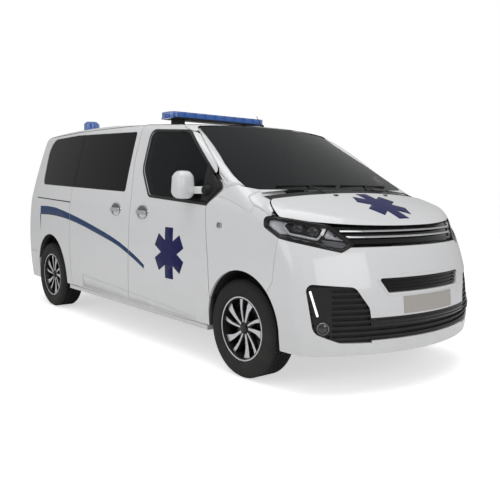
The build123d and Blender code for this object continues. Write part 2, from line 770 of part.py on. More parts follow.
parts["door_handle_right"] = solids_of(handle(fx(-1262), 1087))
parts["door_handle_left"] = left(parts["door_handle_right"])
parts["sliding_door_handles"] = both(solids_of(handle(fx(-1722), 1095)))

# Inside of the cab
cab_floor = floor_top + seat_gap
dash_rows = [(-60, 760), (-60, 1130), (-330, 1165), (-420, 1120), (-440, 900), (-300, 760)]
dash_face = make_face(Polyline(*[(fx(x), z) for x, z in dash_rows], close=True))
parts["dashboard"] = Pos(0, 780, 0) * extrude(Plane.XZ * dash_face, 1560)


def seat(y_middle, width):
    """Seat with its base, cushion and back in one side outline."""
    rows = [(-860, cab_floor), (-800, 640), (-830, 700), (-1240, 670), (-1370, 1330), (-1450, 1330)]
    rows += [(-1400, 640), (-1360, cab_floor)]
    face = make_face(Polyline(*[(fx(x), z) for x, z in rows], close=True))
    return Pos(0, y_middle + width / 2, 0) * extrude(Plane.XZ * face, width)


parts["front_seats"] = Compound(children=[seat(-430, 500), seat(430, 500)])
ring_plane = Plane(origin=(fx(-500), 420, 1090), z_dir=(-1, 0, 0.45))
wheel_ring = Torus(180, 15)
column = Pos(0, 0, -60) * Cylinder(24, 120)
spokes_bar = Box(330, 40, 14)
parts["steering_wheel"] = (ring_plane * (wheel_ring + column + spokes_bar)) - parts["dashboard"]
partition = cabin_frame & block(fx(-1512), fx(-1492), -1500, 1500, cab_floor, 2300)
parts["partition"] = solids_of(partition)

# Lower running parts
muffler_height = floor_bottom - seat_gap - 70
parts["exhaust"] = Pos(rx(-420), 300, muffler_height) * Cylinder(70, 420, rotation=(90, 0, 0))
parts["fuel_tank"] = block(rx(520), rx(1300), -600, -80, 190, floor_bottom - seat_gap)
wiper_shell = above_screen(glass_inset - seat_gap) - above_screen(-9)
wiper_faces = []
for pivot, tip in (((-640, 1335), (-30, 1360)), ((10, 1320), (620, 1350))):
    corners = [pivot, tip, (tip[0], tip[1] + 20), (pivot[0], pivot[1] + 20)]
    wiper_faces.append(make_face(Polyline(*corners, close=True)))
front_plane = Plane(origin=(fx(-400), 0, 0), x_dir=(0, 1, 0), z_dir=(1, 0, 0))
blades = [wiper_shell & extrude(front_plane * face, 900) for face in wiper_faces]
parts["wipers"] = Compound(children=[solid for blade in blades for solid in blade.solids()])
os.makedirs("parts", exist_ok=True)
for name, shape in parts.items():
    export_step(shape, f"parts/{name}.step")
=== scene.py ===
"""Looks of the ambulance: markings, lamps, wheels, trim, cab and a plain studio stage."""
import math

import bmesh
import bpy
from bpy.props import FloatProperty, FloatVectorProperty, IntProperty, PointerProperty
from mathutils import Matrix, Quaternion, Vector
from mathutils.bvhtree import BVHTree


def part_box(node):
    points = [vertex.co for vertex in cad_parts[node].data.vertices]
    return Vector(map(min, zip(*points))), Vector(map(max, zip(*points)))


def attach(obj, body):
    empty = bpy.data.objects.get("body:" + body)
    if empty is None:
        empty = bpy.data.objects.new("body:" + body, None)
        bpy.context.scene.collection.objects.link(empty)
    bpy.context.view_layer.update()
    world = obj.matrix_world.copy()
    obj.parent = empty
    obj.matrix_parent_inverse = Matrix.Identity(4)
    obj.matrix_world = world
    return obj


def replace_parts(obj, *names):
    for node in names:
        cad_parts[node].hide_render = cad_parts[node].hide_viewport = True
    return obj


bl_info = {
    "name": "Ambulance looks",
    "version": (1, 0, 0),
    "blender": (4, 5, 0),
    "location": "View3D > Sidebar > Ambulance",
    "description": "Markings, lamps, wheels, trim and stage for the ambulance",
    "category": "Object",
}

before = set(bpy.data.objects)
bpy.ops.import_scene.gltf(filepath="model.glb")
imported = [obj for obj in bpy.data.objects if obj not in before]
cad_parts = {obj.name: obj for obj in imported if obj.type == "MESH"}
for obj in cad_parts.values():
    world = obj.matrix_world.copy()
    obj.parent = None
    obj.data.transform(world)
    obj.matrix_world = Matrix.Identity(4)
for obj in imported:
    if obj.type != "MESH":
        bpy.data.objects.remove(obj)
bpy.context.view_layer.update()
finishes = {}

# Places that the CAD source also uses, in metres
FRONT_AXLE = 1.5985
REAR_AXLE = -1.6765
AXLE_HEIGHT = 0.340
CORNER_TURN = math.radians(40.0)

X = Vector((1, 0, 0))
Y = Vector((0, 1, 0))
Z = Vector((0, 0, 1))
AXLE_ORIGIN = Vector((FRONT_AXLE, 0, 0))
SIDE_PLANE = (AXLE_ORIGIN, X, Z)
TOP_PLANE = (AXLE_ORIGIN, X, Y)
FRONT_PLANE = (Vector((0, 0, 0)), Y, Z)

# Where lines that look for a surface start: beside the vehicle, above it, and out from a corner
BESIDE = -1.3
ABOVE = 2.5
FAR_OUT = 2.0
# Points of a CAD mesh that lie nearer than this are one point
MERGE_REACH = 2e-5
# Points that lie nearer than this to a cut are on it
CUT_REACH = 1e-7


def corner_direction(side):
    """Direction that a front corner faces; side is -1 on the right and 1 on the left."""
    return Vector((math.cos(CORNER_TURN), side * math.sin(CORNER_TURN), 0))


def corner_plane(side):
    """Plane across a front corner, with its first axis running towards the nose."""
    across = Vector((math.sin(CORNER_TURN), -side * math.cos(CORNER_TURN), 0))
    return (AXLE_ORIGIN, across, Z)


# Sizes and colours that a user would change


class PaintSettings(bpy.types.PropertyGroup):
    """Colours of the paint, the markings and the lamps."""

    paint: FloatVectorProperty(
        name="Paint", description="Body colour", subtype="COLOR", size=3,
        default=(0.74, 0.745, 0.755), min=0, max=1,
    )
    star: FloatVectorProperty(
        name="Star", description="Colour of the six-bar stars", subtype="COLOR", size=3,
        default=(0.012, 0.014, 0.085), min=0, max=1,
    )
    stripe: FloatVectorProperty(
        name="Stripe", description="Colour of the side stripe", subtype="COLOR", size=3,
        default=(0.017, 0.047, 0.130), min=0, max=1,
    )
    lamp_blue: FloatVectorProperty(
        name="Blue lamps", description="Colour of the roof lamps", subtype="COLOR", size=3,
        default=(0.006, 0.075, 0.360), min=0, max=1,
    )


class MarkingSettings(bpy.types.PropertyGroup):
    """Sizes of the markings."""

    star_reach: FloatProperty(
        name="Star reach", description="Length of a star's arm from its centre",
        default=0.200, min=0.05, max=0.4, unit="LENGTH",
    )
    star_bar: FloatProperty(
        name="Star bar", description="Width of a star's bar",
        default=0.112, min=0.02, max=0.2, unit="LENGTH",
    )
    film: FloatProperty(
        name="Film", description="Thickness of the adhesive film",
        default=0.0006, min=0.0001, max=0.002, unit="LENGTH",
    )


class WheelSettings(bpy.types.PropertyGroup):
    """Sizes of the tyres and of the machined spoke faces."""

    tread_depth: FloatProperty(
        name="Tread depth", description="Depth of the cuts between tread blocks",
        default=0.004, min=0.001, max=0.01, unit="LENGTH",
    )
    tread_blocks: IntProperty(
        name="Tread blocks", description="Blocks round one tyre", default=72, min=24, max=160,
    )
    face_thickness: FloatProperty(
        name="Spoke face", description="Thickness of the bright spoke faces",
        default=0.004, min=0.001, max=0.01, unit="LENGTH",
    )


class StageSettings(bpy.types.PropertyGroup):
    """Light and camera of the studio."""

    key_power: FloatProperty(
        name="Overhead", description="Power of the overhead softbox in watts",
        default=190.0, min=0, max=5000,
    )
    world_level: FloatProperty(
        name="Surround", description="Level of the light from all round", default=0.46, min=0, max=3,
    )
    lens: FloatProperty(
        name="Lens", description="Focal length", default=45.7, min=10, max=300, unit="CAMERA",
    )


# Mesh helpers


def add_piece(name, mesh_source, finish, body, sharp=35.0, wall=0.0):
    """Make an object from a bmesh, finish it and let it ride on a body."""
    mesh_source.normal_update()
    mesh = bpy.data.meshes.new(name)
    mesh_source.to_mesh(mesh)
    mesh_source.free()
    mesh.materials.append(finishes[finish])
    mesh.polygons.foreach_set("use_smooth", [True] * len(mesh.polygons))
    mesh.set_sharp_from_angle(angle=math.radians(sharp))
    piece = bpy.data.objects.new(name, mesh)
    bpy.context.scene.collection.objects.link(piece)
    if wall:
        shell = piece.modifiers.new("Wall", "SOLIDIFY")
        shell.thickness = wall
        shell.offset = -1
    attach(piece, body)
    return piece


def merged_copy(node):
    """CAD node's mesh as a bmesh with its loose triangles merged."""
    copy = bmesh.new()
    copy.from_mesh(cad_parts[node].data)
    bmesh.ops.remove_doubles(copy, verts=copy.verts, dist=MERGE_REACH)
    copy.normal_update()
    return copy


def outer_skin(node, facing, least=0.35, side=0):
    """Faces of a CAD node that look along a direction, on one side of the vehicle if side is set."""
    skin = merged_copy(node)
    away = [
        face for face in skin.faces
        if face.normal.dot(facing) < least or side * face.calc_center_median().y < 0
    ]
    bmesh.ops.delete(skin, geom=away, context="FACES")
    return skin


def keep_inside(skin, outline, plane):
    """Copy of a skin cut to a convex outline, seen square on to a plane."""
    origin, across, up = plane
    part = skin.copy()
    middle = Vector((sum(p[0] for p in outline), sum(p[1] for p in outline))) / len(outline)
    for start, end in zip(outline, outline[1:] + outline[:1]):
        normal = across * (end[1] - start[1]) - up * (end[0] - start[0])
        inwards = across * (middle.x - start[0]) + up * (middle.y - start[1])
        if normal.length < CUT_REACH:
            continue
        if normal.dot(inwards) > 0:
            normal = -normal
        bmesh.ops.bisect_plane(
            part, geom=part.verts[:] + part.edges[:] + part.faces[:], dist=CUT_REACH,
            plane_co=origin + across * start[0] + up * start[1], plane_no=normal,
            clear_outer=True,
        )
    return part


def cut_from(skin, outlines, plane, lift=0.0):
    """Pieces of a skin inside several outlines, joined and lifted off the skin."""
    whole = bmesh.new()
    for outline in outlines:
        part = keep_inside(skin, outline, plane)
        scratch = bpy.data.meshes.new("scratch")
        part.to_mesh(scratch)
        part.free()
        whole.from_mesh(scratch)
        bpy.data.meshes.remove(scratch)
    bmesh.ops.remove_doubles(whole, verts=whole.verts, dist=MERGE_REACH)
    bmesh.ops.dissolve_degenerate(whole, edges=whole.edges, dist=1e-6)
    whole.normal_update()
    for vert in whole.verts:
        vert.co += vert.normal * lift
    return whole


def add_layers(skin, plane, body, parts):
    """Thin pieces cut from a skin, one for each row of parts; the skin is freed afterwards."""
    for name, outlines, lift, wall, finish, slot in parts:
        add_piece(name, cut_from(skin, outlines, plane, lift), finish, body, wall=wall)
    skin.free()


def millimetres(rows):
    """Rows in millimetres as points in metres."""
    return [(row[0] / 1000, row[1] / 1000) for row in rows]


def level_bands(half, lows, height):
    """Level outlines of one half width and height in millimetres, one for each lower edge."""
    return [
        millimetres([(-half, low), (half, low), (half, low + height), (-half, low + height)])
        for low in lows
    ]


def rounded(rows, steps=5):
    """Outline in metres from rows of (across, up, corner radius) in millimetres."""
    points = []
    corners = [(Vector(row[:2]) / 1000, row[2] / 1000) for row in rows]
    for index, (corner, radius) in enumerate(corners):
        before = corners[index - 1][0] - corner
        after = corners[(index + 1) % len(corners)][0] - corner
        if radius <= 0:
            points.append(tuple(corner))
            continue
        reach = radius / math.tan(before.angle(after) / 2)
        first = corner + before.normalized() * reach
        last = corner + after.normalized() * reach
        for step in range(steps + 1):
            share = step / steps
            arc = first * (1 - share) ** 2 + corner * 2 * share * (1 - share) + last * share**2
            points.append(tuple(arc))
    return points


def grown(points, amount):
    """Outline moved outwards by an amount, or inwards if it is negative."""
    turn = sum(a[0] * b[1] - a[1] * b[0] for a, b in zip(points, points[1:] + points[:1]))
    sign = 1 if turn > 0 else -1
    moved = []
    for index, point in enumerate(points):
        here = Vector(point)
        before = (here - Vector(points[index - 1])).normalized()
        after = (Vector(points[(index + 1) % len(points)]) - here).normalized()
        along = (before + after).normalized()
        stretch = 1 / max(0.4, along.dot(after))
        moved.append(tuple(here + Vector((along.y, -along.x)) * amount * stretch * sign))
    return moved


def ring(points, inner, outer):
    """Four-sided outlines that make a border between two offsets of an outline."""
    low = grown(points, inner)
    high = grown(points, outer)
    count = len(points)
    return [
        [low[i], low[(i + 1) % count], high[(i + 1) % count], high[i]] for i in range(count)
    ]


def turned(rows, centre, axis, steps=48, into=None):
    """Shape turned about an axis from rows of (along the axis, radius)."""
    shape = into or bmesh.new()
    side = axis.orthogonal().normalized()
    verts = [shape.verts.new(centre + axis * along + side * radius) for along, radius in rows]
    edges = [shape.edges.new(pair) for pair in zip(verts, verts[1:])]
    bmesh.ops.spin(
        shape, geom=verts + edges, cent=centre, axis=axis, angle=2 * math.pi,
        steps=steps, use_merge=True, dvec=(0, 0, 0),
    )
    bmesh.ops.remove_doubles(shape, verts=shape.verts, dist=1e-6)
    bmesh.ops.recalc_face_normals(shape, faces=shape.faces)
    return shape


def soft_box(low, high, bevel, segments=3, turn=None, into=None):
    """Box between two corners with rounded edges, turned about its middle if a rotation is given."""
    shape = into or bmesh.new()
    low, high = Vector(low), Vector(high)
    size = high - low
    place = Matrix.Translation((low + high) / 2)
    if turn is not None:
        place = place @ turn.to_matrix().to_4x4()
    made = bmesh.ops.create_cube(shape, size=1.0, matrix=place @ Matrix.Diagonal((*size, 1)))
    edges = list({edge for vert in made["verts"] for edge in vert.link_edges})
    if bevel:
        bmesh.ops.bevel(
            shape, geom=edges, offset=bevel, offset_type="OFFSET", segments=segments,
            affect="EDGES", profile=0.5, material=-1,
        )
    return shape


def mirrored(shape, side):
    """Turn a right-hand shape into a left-hand one if side is 1."""
    if side > 0:
        bmesh.ops.scale(shape, vec=(1, -1, 1), verts=shape.verts)
        bmesh.ops.reverse_faces(shape, faces=shape.faces)
    return shape


def surface_point(node, start, direction):
    """Where a line first meets a CAD node."""
    probe = merged_copy(node)
    tree = BVHTree.FromBMesh(probe)
    probe.free()
    hit = tree.ray_cast(Vector(start), Vector(direction).normalized())[0]
    if hit is None:
        raise RuntimeError(f"no surface of {node} from {start}")
    return hit


def corner_spot(tree, side, along, height, needed=True):
    """Where a line that looks straight at a front corner meets a surface; along is to the nose."""
    facing = corner_direction(side)
    origin, across, up = corner_plane(side)
    hit = tree.ray_cast(origin + across * along + up * height + facing * FAR_OUT, -facing)[0]
    if hit is None and needed:
        raise RuntimeError(f"no surface at {along}, {height} in the corner plane")
    return hit


def face_outwards(sheet, outward):
    """Turn the faces of an open sheet so that they look along a direction."""
    bmesh.ops.recalc_face_normals(sheet, faces=sheet.faces)
    if sum(face.normal.dot(outward) for face in sheet.faces) < 0:
        bmesh.ops.reverse_faces(sheet, faces=sheet.faces)


def beam(start, end, half, bevel, into=None):
    """Rounded bar between two points, with its half widths across and up."""
    along = end - start
    middle = (start + end) / 2
    reach = Vector((half[0], half[1], along.length / 2))
    return soft_box(middle - reach, middle + reach, bevel, 3, along.to_track_quat("Z", "Y"), into)


def spanned_cover(rows, nodes, outward, bulge, lift=0.0025):
    """Sheet between pairs of points, bowed outwards and kept clear above the nodes under it."""
    trees = []
    for node in nodes:
        under = merged_copy(node)
        trees.append(BVHTree.FromBMesh(under))
        under.free()
    sheet = bmesh.new()
    last = len(rows) - 1
    bmesh.ops.create_grid(sheet, x_segments=last, y_segments=COVER_STEPS, size=1.0)
    for vert in sheet.verts:
        row = rows[round((vert.co.x + 1) / 2 * last)]
        share = (vert.co.y + 1) / 2
        first, second = (Vector(point) / 1000 + AXLE_ORIGIN for point in row)
        spot = first.lerp(second, share) + outward * bulge * 4 * share * (1 - share)
        for tree in trees:
            hit = tree.ray_cast(spot + outward * COVER_PROBE, -outward)[0]
            if hit is not None:
                spot += outward * max(0.0, (hit - spot).dot(outward) + lift)
        vert.co = spot
    face_outwards(sheet, outward)
    return sheet


def arch_lining(node, axle_x, side):
    """Edge faces of a panel round a wheel arch, short of the painted lip, lifted a little."""
    lining = merged_copy(node)
    away = []
    for face in lining.faces:
        middle = face.calc_center_median()
        inwards = Vector((axle_x - middle.x, 0, AXLE_HEIGHT - middle.z))
        off = inwards.length > ARCH_REACH or inwards.normalized().dot(face.normal) < ARCH_FACING
        if off or middle.y * side < ARCH_INNER:
            away.append(face)
    bmesh.ops.delete(lining, geom=away, context="FACES")
    bmesh.ops.bisect_plane(
        lining, geom=lining.verts[:] + lining.edges[:] + lining.faces[:], dist=CUT_REACH,
        plane_co=Y * side * ARCH_LIP, plane_no=Y * side, clear_outer=True,
    )
    for vert in lining.verts:
        vert.co += vert.normal * LINING_LIFT
    return lining


def sides():
    """Right and left, with the sign of Y and the word that node names use."""
    return ((-1, "right"), (1, "left"))


# Finishes: where the road film begins in metres and how fast it thickens, the scales of the slow
# patterns, two colours, and the depths of grain and weave in metres
FILM_TOP = 0.75
FILM_RISE = 1.5
TINT_SCALE = 2.3
PATCH_SCALE = 9.0
ROAD_DUST = (0.30, 0.28, 0.25)
RAISED_THREAD = (0.16, 0.165, 0.18)
GRAIN_DEPTH = 0.0004
WEAVE_DEPTH = 0.0006


def new_group(name, inputs, outputs):
    """Empty shader group with named sockets."""
    tree = bpy.data.node_groups.new(name, "ShaderNodeTree")
    for label, kind, value in inputs:
        socket = tree.interface.new_socket(name=label, in_out="INPUT", socket_type=kind)
        socket.default_value = value
    for label, kind in outputs:
        tree.interface.new_socket(name=label, in_out="OUTPUT", socket_type=kind)
    return tree, tree.nodes.new("NodeGroupInput"), tree.nodes.new("NodeGroupOutput")


def math_node(tree, operation, first, second, clamp=False):
    """Math node on two sockets or numbers."""
    node = tree.nodes.new("ShaderNodeMath")
    node.operation = operation
    node.use_clamp = clamp
    for socket, value in zip(node.inputs, (first, second)):
        if isinstance(value, (int, float)):
            socket.default_value = value
        else:
            tree.links.new(value, socket)
    return node.outputs[0]


def mixed_colour(tree, share, first, second):
    """Mix of two colours by a share."""
    node = tree.nodes.new("ShaderNodeMix")
    node.data_type = "RGBA"
    for socket, value in ((node.inputs[0], share), (node.inputs[6], first), (node.inputs[7], second)):
        if isinstance(value, (int, float)):
            socket.default_value = value
        elif isinstance(value, tuple):
            socket.default_value = (*value, 1)
        else:
            tree.links.new(value, socket)
    return node.outputs[2]


def noise_node(tree, vector, scale, detail=3.0):
    """Fractal noise whose scale is a socket or a number."""
    node = tree.nodes.new("ShaderNodeTexNoise")
    node.inputs["Detail"].default_value = detail
    tree.links.new(vector, node.inputs["Vector"])
    if isinstance(scale, (int, float)):
        node.inputs["Scale"].default_value = scale
    else:
        tree.links.new(scale, node.inputs["Scale"])
    return node.outputs["Fac"]


def make_grain_group():
    """Fine grain with slow colour variation, and a road film that thickens towards the ground."""
    tree, given, put = new_group(
        "surface_grain",
        [
            ("Colour", "NodeSocketColor", (0.8, 0.8, 0.8, 1)),
            ("Tint", "NodeSocketColor", (0.5, 0.5, 0.5, 1)),
            ("Tint amount", "NodeSocketFloat", 0.2),
            ("Grain scale", "NodeSocketFloat", 300.0),
            ("Roughness", "NodeSocketFloat", 0.4),
            ("Roughness spread", "NodeSocketFloat", 0.1),
            ("Film", "NodeSocketFloat", 0.2),
        ],
        [("Colour", "NodeSocketColor"), ("Roughness", "NodeSocketFloat"), ("Height", "NodeSocketFloat")],
    )
    place = tree.nodes.new("ShaderNodeTexCoord").outputs["Object"]
    grain = noise_node(tree, place, given.outputs["Grain scale"])
    slow = noise_node(tree, place, TINT_SCALE, 2.0)
    patch = noise_node(tree, place, PATCH_SCALE, 5.0)
    split = tree.nodes.new("ShaderNodeSeparateXYZ")
    tree.links.new(place, split.inputs[0])
    low = math_node(tree, "SUBTRACT", FILM_TOP, split.outputs["Z"])
    low = math_node(tree, "MULTIPLY", low, FILM_RISE, clamp=True)
    film = math_node(tree, "MULTIPLY", low, patch)
    film = math_node(tree, "MULTIPLY", film, given.outputs["Film"], clamp=True)
    share = math_node(tree, "MULTIPLY", slow, given.outputs["Tint amount"])
    tinted = mixed_colour(tree, share, given.outputs["Colour"], given.outputs["Tint"])
    dusty = mixed_colour(tree, film, tinted, ROAD_DUST)
    tree.links.new(dusty, put.inputs["Colour"])
    rough = math_node(tree, "MULTIPLY", math_node(tree, "SUBTRACT", patch, 0.5),
                      given.outputs["Roughness spread"])
    rough = math_node(tree, "ADD", rough, given.outputs["Roughness"])
    rough = math_node(tree, "ADD", rough, math_node(tree, "MULTIPLY", film, 0.5), clamp=True)
    tree.links.new(rough, put.inputs["Roughness"])
    tree.links.new(grain, put.inputs["Height"])


def make_weave_group():
    """Woven cloth: two crossing threads as height and shade."""
    tree, given, put = new_group(
        "seat_weave",
        [("Colour", "NodeSocketColor", (0.1, 0.1, 0.1, 1)), ("Threads", "NodeSocketFloat", 700.0)],
        [("Colour", "NodeSocketColor"), ("Height", "NodeSocketFloat")],
    )
    place = tree.nodes.new("ShaderNodeTexCoord").outputs["Object"]
    waves = []
    for direction in ("X", "Z"):
        wave = tree.nodes.new("ShaderNodeTexWave")
        wave.bands_direction = direction
        tree.links.new(place, wave.inputs["Vector"])
        tree.links.new(given.outputs["Threads"], wave.inputs["Scale"])
        waves.append(wave.outputs["Fac"])
    height = math_node(tree, "MULTIPLY", waves[0], waves[1])
    shade = mixed_colour(tree, height, given.outputs["Colour"], RAISED_THREAD)
    tree.links.new(shade, put.inputs["Colour"])
    tree.links.new(height, put.inputs["Height"])


def make_finish(name, colour, roughness, metallic=0.0, coat=0.0, tint=None, amount=0.25, scale=400.0,
                spread=0.08, film=0.0, bump=0.08, alpha=1.0, glow=0.0, glow_colour=None, specular=0.5):
    """Material with the shared grain group and its own constants on the shader."""
    material = bpy.data.materials.new(name)
    material.use_nodes = True
    tree = material.node_tree
    shader = tree.nodes["Principled BSDF"]
    group = tree.nodes.new("ShaderNodeGroup")
    group.node_tree = bpy.data.node_groups["surface_grain"]
    group.inputs["Colour"].default_value = (*colour, 1)
    group.inputs["Tint"].default_value = (*(tint or [c * 0.7 for c in colour]), 1)
    group.inputs["Tint amount"].default_value = amount
    group.inputs["Grain scale"].default_value = scale
    group.inputs["Roughness"].default_value = roughness
    group.inputs["Roughness spread"].default_value = spread
    group.inputs["Film"].default_value = film
    tree.links.new(group.outputs["Colour"], shader.inputs["Base Color"])
    tree.links.new(group.outputs["Roughness"], shader.inputs["Roughness"])
    relief = tree.nodes.new("ShaderNodeBump")
    relief.inputs["Strength"].default_value = bump
    relief.inputs["Distance"].default_value = GRAIN_DEPTH
    tree.links.new(group.outputs["Height"], relief.inputs["Height"])
    tree.links.new(relief.outputs["Normal"], shader.inputs["Normal"])
    shader.inputs["Metallic"].default_value = metallic
    shader.inputs["Coat Weight"].default_value = coat
    shader.inputs["Coat Roughness"].default_value = 0.04
    shader.inputs["Alpha"].default_value = alpha
    shader.inputs["Specular IOR Level"].default_value = specular
    if glow:
        shader.inputs["Emission Color"].default_value = (*(glow_colour or colour), 1)
        shader.inputs["Emission Strength"].default_value = glow
    finishes[name] = material


def make_cloth(name, colour):
    """Seat cloth with the shared weave group."""
    material = bpy.data.materials.new(name)
    material.use_nodes = True
    tree = material.node_tree
    shader = tree.nodes["Principled BSDF"]
    group = tree.nodes.new("ShaderNodeGroup")
    group.node_tree = bpy.data.node_groups["seat_weave"]
    group.inputs["Colour"].default_value = (*colour, 1)
    tree.links.new(group.outputs["Colour"], shader.inputs["Base Color"])
    relief = tree.nodes.new("ShaderNodeBump")
    relief.inputs["Strength"].default_value = 0.35
    relief.inputs["Distance"].default_value = WEAVE_DEPTH
    tree.links.new(group.outputs["Height"], relief.inputs["Height"])
    tree.links.new(relief.outputs["Normal"], shader.inputs["Normal"])
    shader.inputs["Roughness"].default_value = 0.9
    shader.inputs["Sheen Weight"].default_value = 0.25
    finishes[name] = material


def make_finishes(paint):
    """All finishes of the vehicle."""
    make_grain_group()
    make_weave_group()
    make_finish("pearl_paint", tuple(paint.paint), 0.34, coat=0.9, tint=(0.66, 0.67, 0.69),
                amount=0.15, scale=900.0, spread=0.04, film=0.22, bump=0.02, specular=0.35)
    make_finish("star_film", tuple(paint.star), 0.42, tint=(0.016, 0.018, 0.10), bump=0.03, specular=0.15)
    make_finish("stripe_film", tuple(paint.stripe), 0.42, tint=(0.02, 0.06, 0.16), bump=0.03, specular=0.15)
    make_finish("privacy_glass", (0.0045, 0.0045, 0.005), 0.05, bump=0.0, spread=0.02, film=0.0,
                alpha=0.97, specular=0.10)
    make_finish("tinted_glass", (0.010, 0.012, 0.013), 0.03, bump=0.0, spread=0.02, film=0.0,
                alpha=0.72, specular=0.12)
    make_finish("screen_glass", (0.008, 0.010, 0.011), 0.03, bump=0.0, spread=0.02, film=0.0,
                alpha=0.80, specular=0.16)
    make_finish("clear_lens", (0.03, 0.03, 0.035), 0.03, bump=0.0, spread=0.01, alpha=0.12, coat=1.0)
    make_finish("lens_dark", (0.012, 0.013, 0.018), 0.05, bump=0.0, spread=0.01, coat=1.0)
    make_finish("black_plastic", (0.013, 0.013, 0.014), 0.5, tint=(0.03, 0.03, 0.03), scale=1500.0,
                bump=0.35, film=0.12, specular=0.22)
    make_finish("gloss_black", (0.005, 0.005, 0.006), 0.16, coat=0.25, bump=0.02, film=0.05, specular=0.25)
    make_finish("seal_rubber", (0.011, 0.011, 0.011), 0.62, scale=1200.0, bump=0.2)
    make_finish("chrome", (0.72, 0.73, 0.75), 0.10, metallic=1.0, bump=0.02, spread=0.05)
    make_finish("shaded_chrome", (0.20, 0.205, 0.215), 0.22, metallic=0.9, bump=0.05)
    make_finish("satin_silver", (0.42, 0.43, 0.45), 0.30, metallic=0.9, bump=0.05, scale=800.0)
    make_finish("dotted_silver", (0.16, 0.165, 0.175), 0.35, metallic=0.8, bump=1.0, scale=420.0)
    # Headlamp reflector parts: painted light, lighter than plain silver and glowing a little, though they are
    # no lamps
    make_finish("painted_glow_reflector", (0.60, 0.61, 0.64), 0.28, metallic=0.35, glow=0.10, bump=0.15,
                scale=220.0, tint=(0.30, 0.31, 0.34), amount=0.5)
    make_finish("white_lamp", (0.80, 0.80, 0.78), 0.25, glow=0.35, glow_colour=(1.0, 0.98, 0.93), bump=0.0)
    make_finish("daylight_lamp", (0.85, 0.85, 0.82), 0.25, glow=0.75, glow_colour=(1.0, 0.97, 0.90),
                bump=0.0)
    make_finish("plate", (0.43, 0.40, 0.375), 0.45, tint=(0.40, 0.38, 0.35), bump=0.05)
    make_finish("tyre_rubber", (0.011, 0.011, 0.012), 0.62, tint=(0.022, 0.021, 0.020), scale=700.0,
                bump=0.35, film=0.12, specular=0.22)
    make_finish("wheel_black", (0.006, 0.006, 0.007), 0.3, coat=0.15, film=0.1, bump=0.05, specular=0.25)
    make_finish("machined_alloy", (0.68, 0.69, 0.71), 0.24, metallic=0.85, film=0.12, scale=2200.0,
                bump=0.10)
    make_finish("brake_iron", (0.12, 0.115, 0.11), 0.45, metallic=0.9, film=0.5, bump=0.3)
    make_finish("chassis_steel", (0.022, 0.022, 0.024), 0.6, metallic=0.3, film=0.9, bump=0.4)
    make_finish("engine_metal", (0.13, 0.13, 0.135), 0.45, metallic=0.8, film=0.4, bump=0.5)
    make_finish("cab_trim", (0.028, 0.029, 0.032), 0.65, tint=(0.05, 0.05, 0.055), scale=1800.0,
                bump=0.45)
    make_finish("blue_lens", tuple(paint.lamp_blue), 0.08, coat=0.7, tint=(0.02, 0.22, 0.75),
                amount=0.45, bump=0.05, alpha=0.72, glow=0.05)
    make_finish("red_lens", (0.36, 0.006, 0.008), 0.10, coat=0.8, bump=0.05, tint=(0.20, 0.0, 0.0))
    make_finish("mirror_glass", (0.72, 0.74, 0.76), 0.02, metallic=1.0, bump=0.0, spread=0.0)
    make_finish("grey_liner", (0.017, 0.017, 0.018), 0.9, scale=500.0, bump=0.8, film=0.6)
    make_cloth("seat_cloth", (0.030, 0.031, 0.036))


# Body covers: pairs of points (forward of front axle, across, up) in millimetres, right-hand side
PILLAR_ROWS = [
    ((-800, -722, 1742), (-815, -690, 1752)), ((-711, -748, 1700), (-690, -713, 1682)),
    ((-573, -798, 1610), (-564, -738, 1605)), ((-446, -830, 1520), (-430, -776, 1524)),
    ((-333, -860, 1432), (-340, -804, 1465)), ((-322, -866, 1392), (-212, -830, 1385)),
    ((-246, -884, 1334), (-140, -836, 1345)), ((-212, -898, 1298), (-73, -834, 1309)),
]
WING_TOP_ROWS = [
    ((20, -880, 1240), (20, -775, 1276)), ((40, -885, 1224), (40, -780, 1268)),
    ((60, -892, 1207), (60, -790, 1258)), ((80, -895, 1195), (80, -805, 1246)),
    ((100, -896, 1181), (100, -806, 1239)), ((120, -896, 1175), (120, -806, 1233)),
    ((140, -896, 1170), (140, -806, 1227)), ((160, -896, 1164), (160, -808, 1222)),
    ((180, -897, 1156), (180, -824, 1216)), ((200, -897, 1149), (200, -846, 1202)),
    ((220, -898, 1140), (220, -857, 1190)), ((240, -899, 1132), (240, -866, 1177)),
    ((260, -900, 1124), (260, -874, 1162)), ((277, -899, 1120), (276, -881, 1150)),
]
COVER_STEPS = 8
COVER_PROBE = 0.08
COVER_WALL = 0.002
PILLAR_OUT = Vector((0.35, -0.75, 0.55)).normalized()
WING_OUT = Vector((0.15, -0.60, 0.78)).normalized()
# Covers: (start of the name, rows, CAD nodes under it, outwards, bulge in metres)
COVERS = [
    ("pillar_cover", PILLAR_ROWS, ("windscreen", "body_side_right", "front_fenders"), PILLAR_OUT, 0.007),
    ("wing_top", WING_TOP_ROWS, ("front_fenders", "body_side_right"), WING_OUT, 0.009),
]
# Arch linings, in metres: how far from the axle they reach, how far out across, and from where;
# and how squarely a face has to look at the axle
ARCH_REACH = 0.50
ARCH_LIP = 0.925
ARCH_INNER = 0.6
ARCH_FACING = 0.45
LINING_LIFT = 0.001
LINING_WALL = 0.0008

